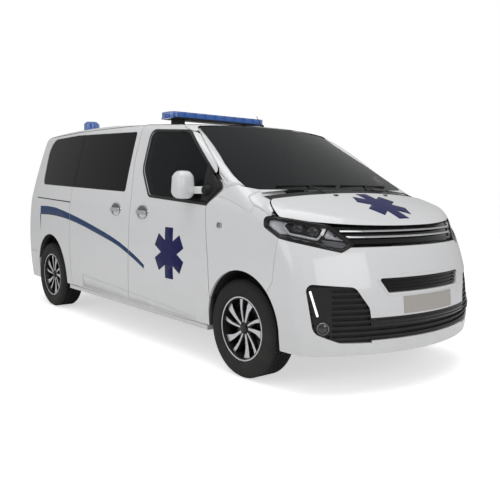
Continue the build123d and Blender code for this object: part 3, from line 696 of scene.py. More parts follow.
# The finish of each CAD node, by the start of its name
NODE_FINISHES = {
    "body_side": "pearl_paint", "roof_panel": "pearl_paint", "front_door": "pearl_paint",
    "front_door_glass": "tinted_glass", "sliding_doors": "pearl_paint",
    "rear_side_glass": "privacy_glass", "windscreen": "screen_glass", "tailgate": "pearl_paint",
    "tailgate_glass": "privacy_glass", "rear_bumper": "pearl_paint", "bonnet": "pearl_paint",
    "front_fenders": "pearl_paint", "front_bumper": "pearl_paint", "headlamps": "gloss_black",
    "lower_grille": "black_plastic", "upper_grille": "gloss_black", "tail_lamps": "red_lens",
    "cowl_panel": "black_plastic", "rim": "wheel_black", "tyre": "tyre_rubber",
    "knuckle": "brake_iron", "rear_axle": "chassis_steel", "floor_pan": "chassis_steel",
    "front_subframe": "chassis_steel", "engine": "engine_metal", "wheel_liners": "grey_liner",
    "light_bar": "blue_lens", "light_bar_feet": "black_plastic", "roof_beacons": "blue_lens",
    "mirror": "pearl_paint", "door_handle": "chrome", "sliding_door_handles": "chrome",
    "dashboard": "cab_trim", "front_seats": "seat_cloth", "steering_wheel": "cab_trim",
    "partition": "cab_trim", "exhaust": "chassis_steel", "fuel_tank": "black_plastic",
    "wipers": "black_plastic",
}


class AMBULANCE_OT_finish_nodes(bpy.types.Operator):
    """Give every CAD node its material"""

    bl_idname = "ambulance.finish_nodes"
    bl_label = "Finish the CAD nodes"

    def execute(self, context):
        make_finishes(context.scene.ambulance_paint)
        for name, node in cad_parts.items():
            fitting = [start for start in NODE_FINISHES if name.startswith(start)]
            finish = finishes[NODE_FINISHES[max(fitting, key=len)]]
            if not node.material_slots:
                node.data.materials.append(finish)
            for material_slot in node.material_slots:
                material_slot.link = "OBJECT"
                material_slot.material = finish
        return {"FINISHED"}


class AMBULANCE_OT_body_covers(bpy.types.Operator):
    """Windscreen pillar covers, wing tops beside the bonnet and dark linings of the wheel arches"""

    bl_idname = "ambulance.body_covers"
    bl_label = "Body covers"

    def execute(self, context):
        for side, word in sides():
            for name, rows, nodes, outward, bulge in COVERS:
                cover = spanned_cover(rows, nodes, outward, bulge)
                add_piece(f"{name}_{word}", mirrored(cover, side), "pearl_paint", "vehicle",
                          wall=COVER_WALL)
            for node, axle_x, body in (
                (f"body_side_{word}", REAR_AXLE, "vehicle"), ("sliding_doors", REAR_AXLE, "vehicle"),
                ("front_fenders", FRONT_AXLE, "vehicle"), ("front_bumper", FRONT_AXLE, "vehicle"),
                (f"front_door_{word}", FRONT_AXLE, f"front_door_{word}"),
            ):
                lining = arch_lining(node, axle_x, side)
                if lining.faces:
                    name = node.removesuffix(f"_{word}")
                    add_piece(f"arch_lining_{name}_{word}", lining, "grey_liner", body, wall=LINING_WALL)
        return {"FINISHED"}


# Stripe: rows of (forward of front axle, upper edge, lower edge) in millimetres
SWOOSH_ROWS = [
    (-3552, 1070, 978), (-3400, 1073, 982), (-3308, 1073, 984), (-3098, 1064, 981),
    (-2897, 1041, 970), (-2709, 1016, 954), (-2531, 990, 932), (-2361, 962, 908),
    (-2200, 933, 880), (-2046, 904, 853), (-1900, 875, 827), (-1761, 844, 800), (-1627, 809, 767),
    (-1500, 768, 727), (-1378, 724, 683), (-1296, 690, 651), (-1226, 655, 624),
]
# Side markings: rows of (forward of front axle, height) in millimetres, some with a corner radius
SWOOSH_TAIL = [(-3560, 980), (-3532, 980), (-3540, 800)]
RAIL_SLOT = [(-3672, 1166), (-2712, 1136), (-2712, 1126), (-3672, 1156)]
SILL_BAND = [(-2440, 443), (-2388, 440), (-1527, 396), (-1011, 368), (-532, 333)]
SILL_LOW = 318
DOOR_WINDOW = [
    (-1195, 1231, 60), (-395, 1186, 30), (-252, 1300, 20), (-828, 1720, 120), (-1370, 1756, 60),
    (-1368, 1440, 150),
]
# Middles of the stars in metres: (forward of front axle, height) and (forward, across)
DOOR_STAR = (-0.850, 0.786)
BONNET_STAR = (0.437, 0.0)
# How thick the side mouldings and the seals are, in metres
MOULDING = 0.004
SLOT_DEPTH = 0.0012
SEAL_DEPTH = 0.0015


def star_arms(centre, reach, bar):
    """Six outlines, one for each arm of a star of three crossed bars."""
    half = bar / 2
    shoulder = half / math.tan(math.radians(30))
    arms = []
    for index in range(6):
        angle = math.radians(90 + 60 * index)
        along = Vector((math.cos(angle), math.sin(angle)))
        side = Vector((-along.y, along.x))
        corners = [(0, 0), (shoulder, -half), (reach, -half), (reach, half), (shoulder, half)]
        arms.append([tuple(Vector(centre) + along * a + side * b) for a, b in corners])
    return arms


def strips(rows):
    """Four-sided outlines between the upper and lower edges of rows."""
    quads = []
    for left_row, right_row in zip(rows, rows[1:]):
        quads.append(millimetres([
            (left_row[0], left_row[1]), (right_row[0], right_row[1]),
            (right_row[0], right_row[2]), (left_row[0], left_row[2]),
        ]))
    return quads


class AMBULANCE_OT_markings(bpy.types.Operator):
    """Stars, stripe and side mouldings as thin layers that follow the skin"""

    bl_idname = "ambulance.markings"
    bl_label = "Markings"

    def execute(self, context):
        sizes = context.scene.ambulance_markings
        film = sizes.film
        stripe = strips(SWOOSH_ROWS)
        tail = millimetres(SWOOSH_TAIL)
        arms = star_arms(DOOR_STAR, sizes.star_reach, sizes.star_bar)
        band = strips([(x, z, SILL_LOW) for x, z in SILL_BAND])
        seal = ring(rounded(DOOR_WINDOW), -0.001, 0.020)
        for side, word in sides():
            facing = Y * side
            door_body = f"front_door_{word}"
            door = outer_skin(door_body, facing)
            sliding = outer_skin("sliding_doors", facing, side=side)
            wing = outer_skin(f"body_side_{word}", facing, 0.6)
            for name, skin, outlines, depth, finish, slot in (
                ("door_star", door, arms, film, "star_film", None),
                ("stripe_door", door, stripe[-4:], film, "stripe_film", None),
                ("stripe_middle", sliding, stripe, film, "stripe_film", None),
                ("stripe_rear", wing, stripe[:7] + [tail], film, "stripe_film", None),
                ("rail_slot", wing, [millimetres(RAIL_SLOT)], SLOT_DEPTH, "seal_rubber", None),
                ("sill_band_door", door, band, MOULDING, "pearl_paint", "white_paint"),
                ("sill_band_middle", sliding, band, MOULDING, "pearl_paint", "white_paint"),
                ("window_seal", door, seal, SEAL_DEPTH, "seal_rubber", None),
            ):
                cut = cut_from(skin, outlines, SIDE_PLANE, depth)
                body = door_body if skin is door else "vehicle"
                add_piece(f"{name}_{word}", cut, finish, body, wall=depth)
            for skin in (door, sliding, wing):
                skin.free()
        arms = star_arms((0, 0), sizes.star_reach, sizes.star_bar)
        arms = [[(y + BONNET_STAR[0], x + BONNET_STAR[1]) for x, y in arm] for arm in arms]
        star = ("bonnet_star", arms, film, film, "star_film", None)
        add_layers(outer_skin("bonnet", Z), TOP_PLANE, "bonnet", [star])
        return {"FINISHED"}


# Headlamp: outlines in the corner plane, rows of (towards the nose, height) in millimetres, some
# with a corner radius
LAMP_VIEW = [(-700, 800), (200, 800), (200, 1300), (-700, 1300)]
LAMP_EDGE = [
    (-556, 1112, 30), (-500, 1122, 30), (-150, 1070, 60), (22, 950, 15), (-70, 902, 20),
    (-462, 985, 60), (-556, 1050, 30),
]
LAMP_BAY = [
    (-428, 1060, 8), (-402, 1083, 10), (-206, 1049, 12), (-184, 1032, 10), (-226, 982, 10),
    (-392, 1014, 10),
]
LAMP_CRESCENT = [
    [(-520, 1062), (-512, 1090), (-470, 1100), (-412, 1092), (-440, 1062)],
    [(-520, 1062), (-440, 1062), (-398, 1008), (-452, 1008), (-505, 1028)],
]
LAMP_BAR = [(-184, 1050), (-164, 1047), (-186, 1000), (-206, 1004)]
LAMP_CLEAR = [(-152, 1040), (-96, 1018), (-34, 966), (-170, 984), (-176, 1000)]
LAMP_DOTS = [(-196, 974), (-34, 958), (-14, 948), (-66, 916), (-180, 938)]
LAMP_DEPTH = 0.028
LAMP_FACING = 0.3

# What stands on the lamp's floor: (piece, outlines, lift, wall, finish) in metres
LAMP_PARTS = [
    # Frame, crescent and clear part glow as painted light; they are no lamps
    ("bay_frame", ring(rounded(LAMP_BAY), 0.0, 0.012), 0.012, 0.012, "painted_glow_reflector"),
    ("crescent", [millimetres(half) for half in LAMP_CRESCENT], 0.008, 0.008, "painted_glow_reflector"),
    ("bar", [millimetres(LAMP_BAR)], 0.016, 0.014, "white_lamp"),
    ("clear", [millimetres(LAMP_CLEAR)], 0.006, 0.006, "painted_glow_reflector"),
    ("dots", [millimetres(LAMP_DOTS)], 0.008, 0.008, "dotted_silver"),
]
# Projectors: (towards the nose, height, radius) in metres
PROJECTORS = [(-0.345, 1.043, 0.030), (-0.250, 1.024, 0.032), (-0.110, 1.004, 0.013)]


def lamp_floor(side):
    """Front face of the lamp housing, set back behind the clear lens."""
    facing = corner_direction(side)
    floor = outer_skin("headlamps", facing, LAMP_FACING, side)
    bmesh.ops.translate(floor, vec=facing * -LAMP_DEPTH, verts=floor.verts)
    return floor


def lamp_housing(side):
    """The lamp's CAD solid on one side, with its front faces set back to the floor."""
    facing = corner_direction(side)
    housing = merged_copy("headlamps")
    opposite = [vert for vert in housing.verts if vert.co.y * side < 0]
    bmesh.ops.delete(housing, geom=opposite, context="VERTS")
    front = {
        vert for face in housing.faces if face.normal.dot(facing) > LAMP_FACING for vert in face.verts
    }
    bmesh.ops.translate(housing, vec=facing * -LAMP_DEPTH, verts=list(front))
    return housing


def projector_rows(radius):
    """Bezel and domed lens of a projector, as rows of (outwards, radius)."""
    bezel = [(0, radius * 1.2), (0.006, radius * 1.2), (0.006, radius)]
    dome = [(0.006 + 0.010 * math.sin(a), radius * math.cos(a)) for a in (0.4, 0.8, 1.2)]
    return bezel + dome + [(0.016, 0)]


class AMBULANCE_OT_headlamps(bpy.types.Operator):
    """Headlamps with a clear lens, a black housing, a framed bay whose bright parts are painted light, and
    lenses
    """

    bl_idname = "ambulance.headlamps"
    bl_label = "Headlamps"

    def execute(self, context):
        for side, word in sides():
            facing = corner_direction(side)
            plane = corner_plane(side)
            lens = outer_skin("headlamps", facing, LAMP_FACING, side)
            cover = cut_from(lens, [millimetres(LAMP_VIEW)], plane, -0.001)
            add_piece(f"lamp_cover_{word}", cover, "clear_lens", "vehicle", wall=0.003)
            edge = cut_from(lens, ring(rounded(LAMP_EDGE), -0.024, 0.001), plane)
            add_piece(f"lamp_edge_{word}", edge, "gloss_black", "vehicle", wall=0.010)
            lens.free()
            housing = add_piece(f"lamp_housing_{word}", lamp_housing(side), "gloss_black", "vehicle")
            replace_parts(housing, "headlamps")
            floor = lamp_floor(side)
            for part, outlines, lift, wall, finish in LAMP_PARTS:
                cut = cut_from(floor, outlines, plane, lift)
                add_piece(f"lamp_{part}_{word}", cut, finish, "vehicle", wall=wall)
            tree = BVHTree.FromBMesh(floor)
            floor.free()
            projectors = bmesh.new()
            for along, height, radius in PROJECTORS:
                spot = corner_spot(tree, side, along, height)
                turned(projector_rows(radius), spot, facing, 32, into=projectors)
            add_piece(f"lamp_projectors_{word}", projectors, "lens_dark", "vehicle")
        return {"FINISHED"}


# Front trim: rows of (across, height) in millimetres, some with a corner radius
MIDDLE_GRILLE = [(372, 646, 14), (430, 738, 14), (-430, 738, 14), (-372, 646, 14)]
MOUTH_STRIP = [(-560, 439), (560, 439), (566, 497), (-566, 497)]
PLATE_HALF = 260
PLATE_HEIGHT = 110

# Side repeater: rows of (forward of front axle, height, corner radius) in millimetres
SIDE_REPEATER = [(-250, 1018, 12), (-196, 1018, 12), (-196, 1054, 12), (-250, 1054, 12)]

# Thin pieces: (piece, outlines, lift, wall, finish, slot) in metres
GRILLE_PARTS = [("grille_lines", level_bands(600, (1025, 989), 11), 0.002, 0.003, "chrome", None)]
BUMPER_PARTS = [
    ("front_plate", level_bands(PLATE_HALF, (508,), PLATE_HEIGHT), 0.0016, 0.0016, "plate", None),
    ("middle_grille_frame", ring(rounded(MIDDLE_GRILLE), 0.0005, 0.016), 0.003, 0.004, "pearl_paint",
     "white_paint"),
    ("lower_mouth_panel", [millimetres(MOUTH_STRIP)], 0.0004, 0.0004, "gloss_black", None),
    ("lower_mouth_bars", level_bands(562, (448, 468, 487), 10), 0.0012, 0.0008, "black_plastic", None),
]

# Fog lamp and daylight bar: places in the corner plane as (towards the nose, height) in metres,
# and turned shapes as rows of (outwards, radius)
FOG_PANEL_SPAN = (-0.300, -0.130)
FOG_PANEL_COLUMNS = 12
BAR_HEIGHTS = [0.370 + 0.035 * index for index in range(10)]
DAYLIGHT_BAR = [(-0.272, 0.671), (-0.222, 0.514)]
FOG_LAMP = (-0.189, 0.439)
FOG_RING = [
    (-0.004, 0.040), (0.005, 0.040), (0.008, 0.037), (0.008, 0.033), (0.001, 0.031), (0.001, 0.0),
]
FOG_LENS = [(0.001, 0.031), (0.004, 0.030), (0.009, 0.020), (0.011, 0.010), (0.0115, 0.0)]


def draped_panel(node, side):
    """Sheet through the fronts of a grille's bars, as if the bars were filled in."""
    facing = corner_direction(side)
    source = merged_copy(node)
    tree = BVHTree.FromBMesh(source)
    source.free()
    first, last = FOG_PANEL_SPAN
    gaps = len(BAR_HEIGHTS) - 1
    sheet = bmesh.new()
    bmesh.ops.create_grid(sheet, x_segments=FOG_PANEL_COLUMNS, y_segments=gaps, size=1.0)
    missed = []
    for vert in sheet.verts:
        along = first + (last - first) * (vert.co.x + 1) / 2
        height = BAR_HEIGHTS[round((vert.co.y + 1) / 2 * gaps)]
        hit = corner_spot(tree, side, along, height, needed=False)
        if hit is None:
            missed.append(vert)
        else:
            vert.co = hit
    bmesh.ops.delete(sheet, geom=missed, context="VERTS")
    face_outwards(sheet, facing)
    return sheet


class AMBULANCE_OT_front_trim(bpy.types.Operator):
    """Grille lines and frame, plate, mouth strip, fog lamp panels, daylight bars and side repeaters"""

    bl_idname = "ambulance.front_trim"
    bl_label = "Front trim"

    def execute(self, context):
        add_layers(outer_skin("upper_grille", X, 0.25), FRONT_PLANE, "vehicle", GRILLE_PARTS)
        add_layers(outer_skin("front_bumper", X, 0.3), FRONT_PLANE, "vehicle", BUMPER_PARTS)
        for side, word in sides():
            facing = corner_direction(side)
            sheet = draped_panel("lower_grille", side)
            tree = BVHTree.FromBMesh(sheet)
            add_piece(f"fog_panel_{word}", sheet, "black_plastic", "vehicle", wall=0.004)
            top, bottom = (corner_spot(tree, side, *place) for place in DAYLIGHT_BAR)
            bar = beam(bottom, top, (0.007, 0.007), 0.005)
            add_piece(f"daylight_bar_{word}", bar, "daylight_lamp", "vehicle")
            spot = corner_spot(tree, side, *FOG_LAMP)
            add_piece(f"fog_ring_{word}", turned(FOG_RING, spot, facing), "shaded_chrome", "vehicle")
            add_piece(f"fog_lens_{word}", turned(FOG_LENS, spot, facing), "lens_dark", "vehicle")
            repeater = (f"side_repeater_{word}", [rounded(SIDE_REPEATER)], 0.004, 0.004, "satin_silver", None)
            add_layers(outer_skin("front_fenders", Y * side, 0.5, side), SIDE_PLANE, "vehicle", [repeater])
        return {"FINISHED"}


# Wheels: half of the tyre's section as rows of (across, radius), and the fittings' sections as
# rows of (outwards from the wheel's middle, radius), in metres
TYRE_HALF = [
    (-0.100, 0.2224), (-0.104, 0.232), (-0.1085, 0.236), (-0.1118, 0.252), (-0.1125, 0.272),
    (-0.1112, 0.292), (-0.1120, 0.296), (-0.1105, 0.304), (-0.1060, 0.318), (-0.0975, 0.330),
    (-0.0850, 0.336), (-0.0540, 0.336), (-0.0520, 0.330), (-0.0440, 0.330), (-0.0420, 0.336),
    (-0.0210, 0.336), (-0.0190, 0.330), (-0.0110, 0.330), (-0.0090, 0.336),
]
RIM_LIP = [
    (0.0985, 0.2215), (0.1008, 0.2215), (0.1014, 0.2185), (0.1008, 0.2125), (0.094, 0.2075),
    (0.084, 0.2060), (0.084, 0.2085), (0.0985, 0.2215),
]
WHEEL_CAP = [
    (0.070, 0.0), (0.070, 0.033), (0.078, 0.033), (0.082, 0.030), (0.083, 0.026), (0.0815, 0.024),
    (0.083, 0.012), (0.0835, 0.0),
]
WHEEL_BOLT = [(0.030, 0.0), (0.030, 0.010), (0.060, 0.010), (0.062, 0.008), (0.062, 0.0)]
BOLT_CIRCLE = 0.054
TREAD_RADIUS = 0.3345
TREAD_HALF = 0.0855
TREAD_GAP = 0.0024

# Where each wheel stands: (word in its names, forward, across)
WHEELS = [
    ("front_right", FRONT_AXLE, -0.8135), ("front_left", FRONT_AXLE, 0.8135),
    ("rear_right", REAR_AXLE, -0.800), ("rear_left", REAR_AXLE, 0.800),
]

# Pairs of a slim and a broad spoke: which way each stands off the pair's middle, with its half
# widths at the hub, half way and at the rim in metres, and by how many degrees
SPOKE_PAIRS = 5
PAIR_TURN = 360 / SPOKE_PAIRS
SPOKE_WIDTHS = {-1: (0.0055, 0.0090, 0.0150), 1: (0.0080, 0.0150, 0.0310)}
SPOKE_TURN = 15.12


def wheel_point(angle, radius, out):
    """Point on a right-hand wheel about its own centre; out is towards the outer side."""
    return Vector((math.sin(angle) * radius, -out, math.cos(angle) * radius))


def face_out(radius):
    """How far out the front of a CAD spoke lies at a radius."""
    return 0.068 + 0.010 * (radius - 0.042) / 0.180


def spoke_face(shape, angle, widths, thickness):
    """Bright plate on one spoke, flaring as it nears the rim."""
    stations = [(0.040, 0.0, widths[0]), (0.085, 1.7, widths[0] * 1.15), (0.130, 3.6, widths[1]),
                (0.170, 6.2, (widths[1] + widths[2]) * 0.48), (0.207, 9.0, widths[2])]
    rows = []
    for radius, lean, half in stations:
        spread = half / radius
        middle = math.radians(angle + lean)
        level = face_out(radius) + 0.0005
        rows.append([
            shape.verts.new(wheel_point(middle + sign * spread, radius, level)) for sign in (-1, 1)
        ])
    faces = [shape.faces.new((a[0], a[1], b[1], b[0])) for a, b in zip(rows, rows[1:])]
    grown_part = bmesh.ops.extrude_face_region(shape, geom=faces)
    tops = [item for item in grown_part["geom"] if isinstance(item, bmesh.types.BMVert)]
    bmesh.ops.translate(shape, vec=(0, -thickness, 0), verts=tops)


def treaded_tyre(sizes):
    """Tyre about its own centre, with its tread cut into blocks."""
    rows = TYRE_HALF + [(-across, radius) for across, radius in reversed(TYRE_HALF)] + TYRE_HALF[:1]
    tyre = turned(rows, Vector((0, 0, 0)), Y, sizes.tread_blocks)
    tread = []
    for face in tyre.faces:
        middle = face.calc_center_median()
        level = abs(face.normal.y) < 0.2 and abs(middle.y) < TREAD_HALF
        if level and math.hypot(middle.x, middle.z) > TREAD_RADIUS:
            tread.append(face)
    bmesh.ops.inset_individual(tyre, faces=tread, thickness=TREAD_GAP, depth=sizes.tread_depth,
                               use_even_offset=True)
    return tyre


def spoke_faces(sizes, side):
    """Bright faces of a wheel's ten spokes about its own centre."""
    faces = bmesh.new()
    for index in range(SPOKE_PAIRS):
        for sign, widths in SPOKE_WIDTHS.items():
            spoke_face(faces, PAIR_TURN * index + sign * SPOKE_TURN, widths, sizes.face_thickness)
    bmesh.ops.recalc_face_normals(faces, faces=faces.faces)
    return mirrored(faces, side)


def wheel_bolts(centre, out):
    """Five wheel bolts between the pairs of spokes."""
    bolts = bmesh.new()
    for index in range(SPOKE_PAIRS):
        angle = math.radians(PAIR_TURN * (index + 0.5))
        spot = centre + wheel_point(angle, BOLT_CIRCLE, 0)
        turned(WHEEL_BOLT, spot, out, 6, into=bolts)
    return bolts


class AMBULANCE_OT_wheels(bpy.types.Operator):
    """Treaded tyres, bright spoke faces, rim lips, centre caps and wheel bolts"""

    bl_idname = "ambulance.wheels"
    bl_label = "Wheels"

    def execute(self, context):
        sizes = context.scene.ambulance_wheels
        for word, forward, across in WHEELS:
            side = 1 if across > 0 else -1
            out = Y * side
            centre = Vector((forward, across, AXLE_HEIGHT))
            body = f"wheel_{word}"
            tyre = treaded_tyre(sizes)
            bmesh.ops.translate(tyre, vec=centre, verts=tyre.verts)
            tyre_piece = add_piece(f"treaded_tyre_{word}", tyre, "tyre_rubber", body)
            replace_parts(tyre_piece, f"tyre_{word}")
            faces = spoke_faces(sizes, side)
            bmesh.ops.translate(faces, vec=centre, verts=faces.verts)
            add_piece(f"spoke_faces_{word}", faces, "machined_alloy", body)
            lip = turned(RIM_LIP, centre, out, 96)
            add_piece(f"rim_lip_{word}", lip, "machined_alloy", body)
            add_piece(f"wheel_cap_{word}", turned(WHEEL_CAP, centre, out, 40), "gloss_black", body)
            add_piece(f"wheel_bolts_{word}", wheel_bolts(centre, out), "satin_silver", body)
        return {"FINISHED"}


# Right-hand mirror in metres: its head's box, where its arm starts, and its foot on the door glass
# as (forward of front axle, height)
MIRROR_LOW = Vector((0.932, -1.0782, 1.212))
MIRROR_HIGH = Vector((1.086, -0.918, 1.4155))
MIRROR_ARM = Vector((1.045, -0.942, 1.276))
MIRROR_FOOT = (-0.412, 1.277)
MIRROR_BASE = [
    (0.0, 0.0), (0.0, 0.040), (0.006, 0.038), (0.026, 0.033), (0.042, 0.028), (0.046, 0.020),
    (0.047, 0.0),
]
# Black panel in the window's front corner: (forward of front axle, height, corner radius) in mm
SAIL_PANEL = [(-478, 1206, 10), (-398, 1198, 10), (-266, 1302, 10), (-340, 1366, 10), (-478, 1470, 10)]


def mirror_head(foot):
    """Rounded head that narrows above and below, with an arm to its foot on the door glass."""
    head = soft_box(MIRROR_LOW, MIRROR_HIGH, 0.050, 6)
    middle = (MIRROR_LOW + MIRROR_HIGH) / 2
    half_height = (MIRROR_HIGH.z - MIRROR_LOW.z) / 2
    for vert in head.verts:
        rise = (vert.co.z - middle.z) / half_height
        narrow = 1 - 0.24 * max(0.0, rise + 0.1) ** 1.6 - 0.16 * max(0.0, -rise) ** 2
        vert.co.x = middle.x + (vert.co.x - middle.x) * narrow
        vert.co.y = middle.y + (vert.co.y - middle.y) * narrow
    beam(MIRROR_ARM, foot + Vector((-0.010, -0.026, 0)), (0.013, 0.027), 0.010, into=head)
    return head


class AMBULANCE_OT_mirrors(bpy.types.Operator):
    """Mirror heads with their arms, glass, bases and sail panels"""

    bl_idname = "ambulance.mirrors"
    bl_label = "Mirrors"

    def execute(self, context):
        forward, height = MIRROR_FOOT
        for side, word in sides():
            body = f"front_door_{word}"
            start = Vector((FRONT_AXLE + forward, BESIDE, height))
            foot = surface_point("front_door_glass_right", start, Y)
            head = add_piece(f"mirror_head_{word}", mirrored(mirror_head(foot), side), "pearl_paint", body,
                             sharp=50.0)
            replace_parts(head, f"mirror_{word}")
            glass = soft_box((MIRROR_LOW.x - 0.002, -1.046, 1.250), (MIRROR_LOW.x + 0.010, -0.943, 1.376),
                             0.005, 3)
            add_piece(f"mirror_glass_{word}", mirrored(glass, side), "mirror_glass", body)
            base = turned(MIRROR_BASE, foot, -Y, 40)
            add_piece(f"mirror_base_{word}", mirrored(base, side), "black_plastic", body)
            pane = outer_skin("front_door_glass_right", -Y)
            sail = cut_from(pane, [rounded(SAIL_PANEL)], SIDE_PLANE, 0.003)
            pane.free()
            add_piece(f"mirror_sail_{word}", mirrored(sail, side), "black_plastic", body, wall=0.003)
        return {"FINISHED"}


# Right-hand handles: (word in their names, CAD node, forward of front axle, height) in metres
HANDLES = [
    ("front", "front_door_right", -1.262, 1.087), ("sliding", "sliding_doors", -1.722, 1.095),
]
# Their parts, turned and then stretched to an oval: (part, rows of (outwards, radius), finish)
HANDLE_PARTS = [
    ("rim", [(-0.004, 0.060), (0.003, 0.060), (0.0065, 0.057), (0.0065, 0.053), (0.003, 0.050),
             (-0.004, 0.050), (-0.004, 0.060)], "chrome"),
    ("cup", [(0.004, 0.052), (0.0015, 0.040), (0.0008, 0.020), (0.0006, 0.0)], "shaded_chrome"),
]
HANDLE_STRETCH = 1.65


class AMBULANCE_OT_handles(bpy.types.Operator):
    """Oval rims and cups behind the door handles"""

    bl_idname = "ambulance.handles"
    bl_label = "Handles"

    def execute(self, context):
        for side, word in sides():
            for door, node, forward, height in HANDLES:
                body = f"front_door_{word}" if door == "front" else "vehicle"
                spot = surface_point(node, Vector((FRONT_AXLE + forward, BESIDE, height)), Y)
                for part, rows, finish in HANDLE_PARTS:
                    oval = turned(rows, spot, -Y, 40)
                    bmesh.ops.scale(oval, vec=(HANDLE_STRETCH, 1, 1), verts=oval.verts,
                                    space=Matrix.Translation(-spot))
                    add_piece(f"handle_{part}_{door}_{word}", mirrored(oval, side), finish, body)
        return {"FINISHED"}


# Wipers: the blade's two ends as (forward, across) on the windscreen, and where its arm turns,
# across on the cowl, in metres
WIPERS = [((1.596, -0.610), (1.650, -0.060), -0.300), ((1.650, -0.010), (1.598, 0.570), 0.300)]
WIPER_PIVOT = 1.800
# Washer nozzles on the bonnet, as (forward of front axle, across to each side)
NOZZLE = (0.248, 0.271)


class AMBULANCE_OT_wipers(bpy.types.Operator):
    """Wiper blades with their arms, and washer nozzles"""

    bl_idname = "ambulance.wipers"
    bl_label = "Wipers"

    def execute(self, context):
        wipers = bmesh.new()
        for outer_end, inner_end, pivot_across in WIPERS:
            first, second = (
                surface_point("windscreen", Vector((*end, ABOVE)), -Z) + Z * 0.009
                for end in (outer_end, inner_end)
            )
            beam(first, second, (0.0045, 0.006), 0.002, into=wipers)
            start = Vector((WIPER_PIVOT, pivot_across, ABOVE))
            pivot = surface_point("cowl_panel", start, -Z) + Z * 0.004
            beam(pivot, (first + second) / 2 + Z * 0.007, (0.007, 0.0035), 0.002, into=wipers)
        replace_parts(add_piece("wiper_arms", wipers, "black_plastic", "vehicle"), "wipers")
        forward, across = NOZZLE
        nozzles = bmesh.new()
        for side in (-1, 1):
            start = Vector((FRONT_AXLE + forward, side * across, ABOVE))
            spot = surface_point("bonnet", start, -Z)
            soft_box(spot + Vector((-0.012, -0.016, -0.002)), spot + Vector((0.012, 0.016, 0.007)),
                     0.003, 2, into=nozzles)
        add_piece("washer_nozzles", nozzles, "black_plastic", "bonnet")
        return {"FINISHED"}


# Roof lamps, in metres; turned shapes are rows of (up from the beacon's top or the roof, radius)
LAMP_MODULES = 9
MODULE_MARGIN = 0.03
MODULE_FORWARD = 0.075
BEACON_ACROSS = 0.450
BEACON_CORE = [(-0.090, 0.0), (-0.090, 0.050), (-0.050, 0.040), (-0.014, 0.030), (-0.014, 0.0)]
BEACON_FOOT = [(-0.140, 0.0), (-0.140, 0.084), (-0.104, 0.084), (-0.100, 0.0825), (-0.100, 0.0)]
ANTENNA_FORWARD = -0.881
ANTENNA_LEAN = 0.75
ANTENNA = [
    (-0.002, 0.0), (-0.002, 0.022), (0.006, 0.020), (0.014, 0.010), (0.018, 0.004), (0.120, 0.0025),
    (0.122, 0.0),
]


class AMBULANCE_OT_roof_lamps(bpy.types.Operator):
    """Base, modules and ribs of the light bar, cores and feet of the beacons, and the antenna"""

    bl_idname = "ambulance.roof_lamps"
    bl_label = "Roof lamps"

    def execute(self, context):
        low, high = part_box("light_bar")
        middle_x = (low.x + high.x) / 2
        base = soft_box((low.x - 0.002, low.y + 0.02, low.z - 0.001),
                        (high.x + 0.002, high.y - 0.02, low.z + 0.012), 0.004, 2)
        add_piece("light_bar_base", base, "black_plastic", "vehicle")
        first = low.y + MODULE_MARGIN
        pitch = (high.y - low.y - 2 * MODULE_MARGIN) / LAMP_MODULES
        modules = bmesh.new()
        for index in range(LAMP_MODULES):
            y = first + pitch * (index + 0.5)
            for x in (middle_x - MODULE_FORWARD, middle_x + MODULE_FORWARD):
                soft_box((x - 0.022, y - pitch * 0.38, low.z + 0.014),
                         (x + 0.022, y + pitch * 0.38, high.z - 0.010), 0.006, 2, into=modules)
        add_piece("light_bar_modules", modules, "chrome", "vehicle")
        ribs = bmesh.new()
        for index in range(1, LAMP_MODULES):
            y = first + pitch * index
            soft_box((low.x - 0.0012, y - 0.002, low.z + 0.012),
                     (high.x + 0.0012, y + 0.002, high.z + 0.0012), 0.001, 1, into=ribs)
        add_piece("light_bar_ribs", ribs, "blue_lens", "vehicle")
        low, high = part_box("roof_beacons")
        for side, word in sides():
            top = Vector(((low.x + high.x) / 2, side * BEACON_ACROSS, high.z))
            add_piece(f"beacon_core_{word}", turned(BEACON_CORE, top, Z, 32), "chrome", "vehicle")
            add_piece(f"beacon_foot_{word}", turned(BEACON_FOOT, top, Z, 48), "black_plastic", "vehicle")
        foot = surface_point("roof_panel", Vector((FRONT_AXLE + ANTENNA_FORWARD, 0, ABOVE)), -Z)
        lean = (Z - X * ANTENNA_LEAN).normalized()
        add_piece("roof_antenna", turned(ANTENNA, foot, lean, 20), "black_plastic", "vehicle")
        return {"FINISHED"}


# Rear trim: rows of (across, height) in millimetres, some with a corner radius
TAILGATE_HANDLE = [(-330, 930, 10), (330, 930, 10), (330, 968, 10), (-330, 968, 10)]
STOP_LAMP = [(-160, 1795, 8), (160, 1795, 8), (160, 1817, 8), (-160, 1817, 8)]
TAILGATE_WINDOW = [(655, 1190, 60), (610, 1690, 90), (-610, 1690, 90), (-655, 1190, 60)]
REFLECTOR = [(560, 372), (700, 372), (700, 410), (560, 410)]

# Thin pieces on the tailgate: (piece, outlines, lift, wall, finish, slot) in metres
TAILGATE_PARTS = [
    ("rear_plate", level_bands(PLATE_HALF, (800,), PLATE_HEIGHT), 0.002, 0.002, "plate", None),
    ("tailgate_handle", [rounded(TAILGATE_HANDLE)], 0.008, 0.008, "chrome", None),
    ("stop_lamp", [rounded(STOP_LAMP)], 0.004, 0.004, "red_lens", "red_lens"),
    ("rear_window_seal", ring(rounded(TAILGATE_WINDOW), -0.001, 0.016), 0.0015, 0.0015, "seal_rubber",
     None),
]


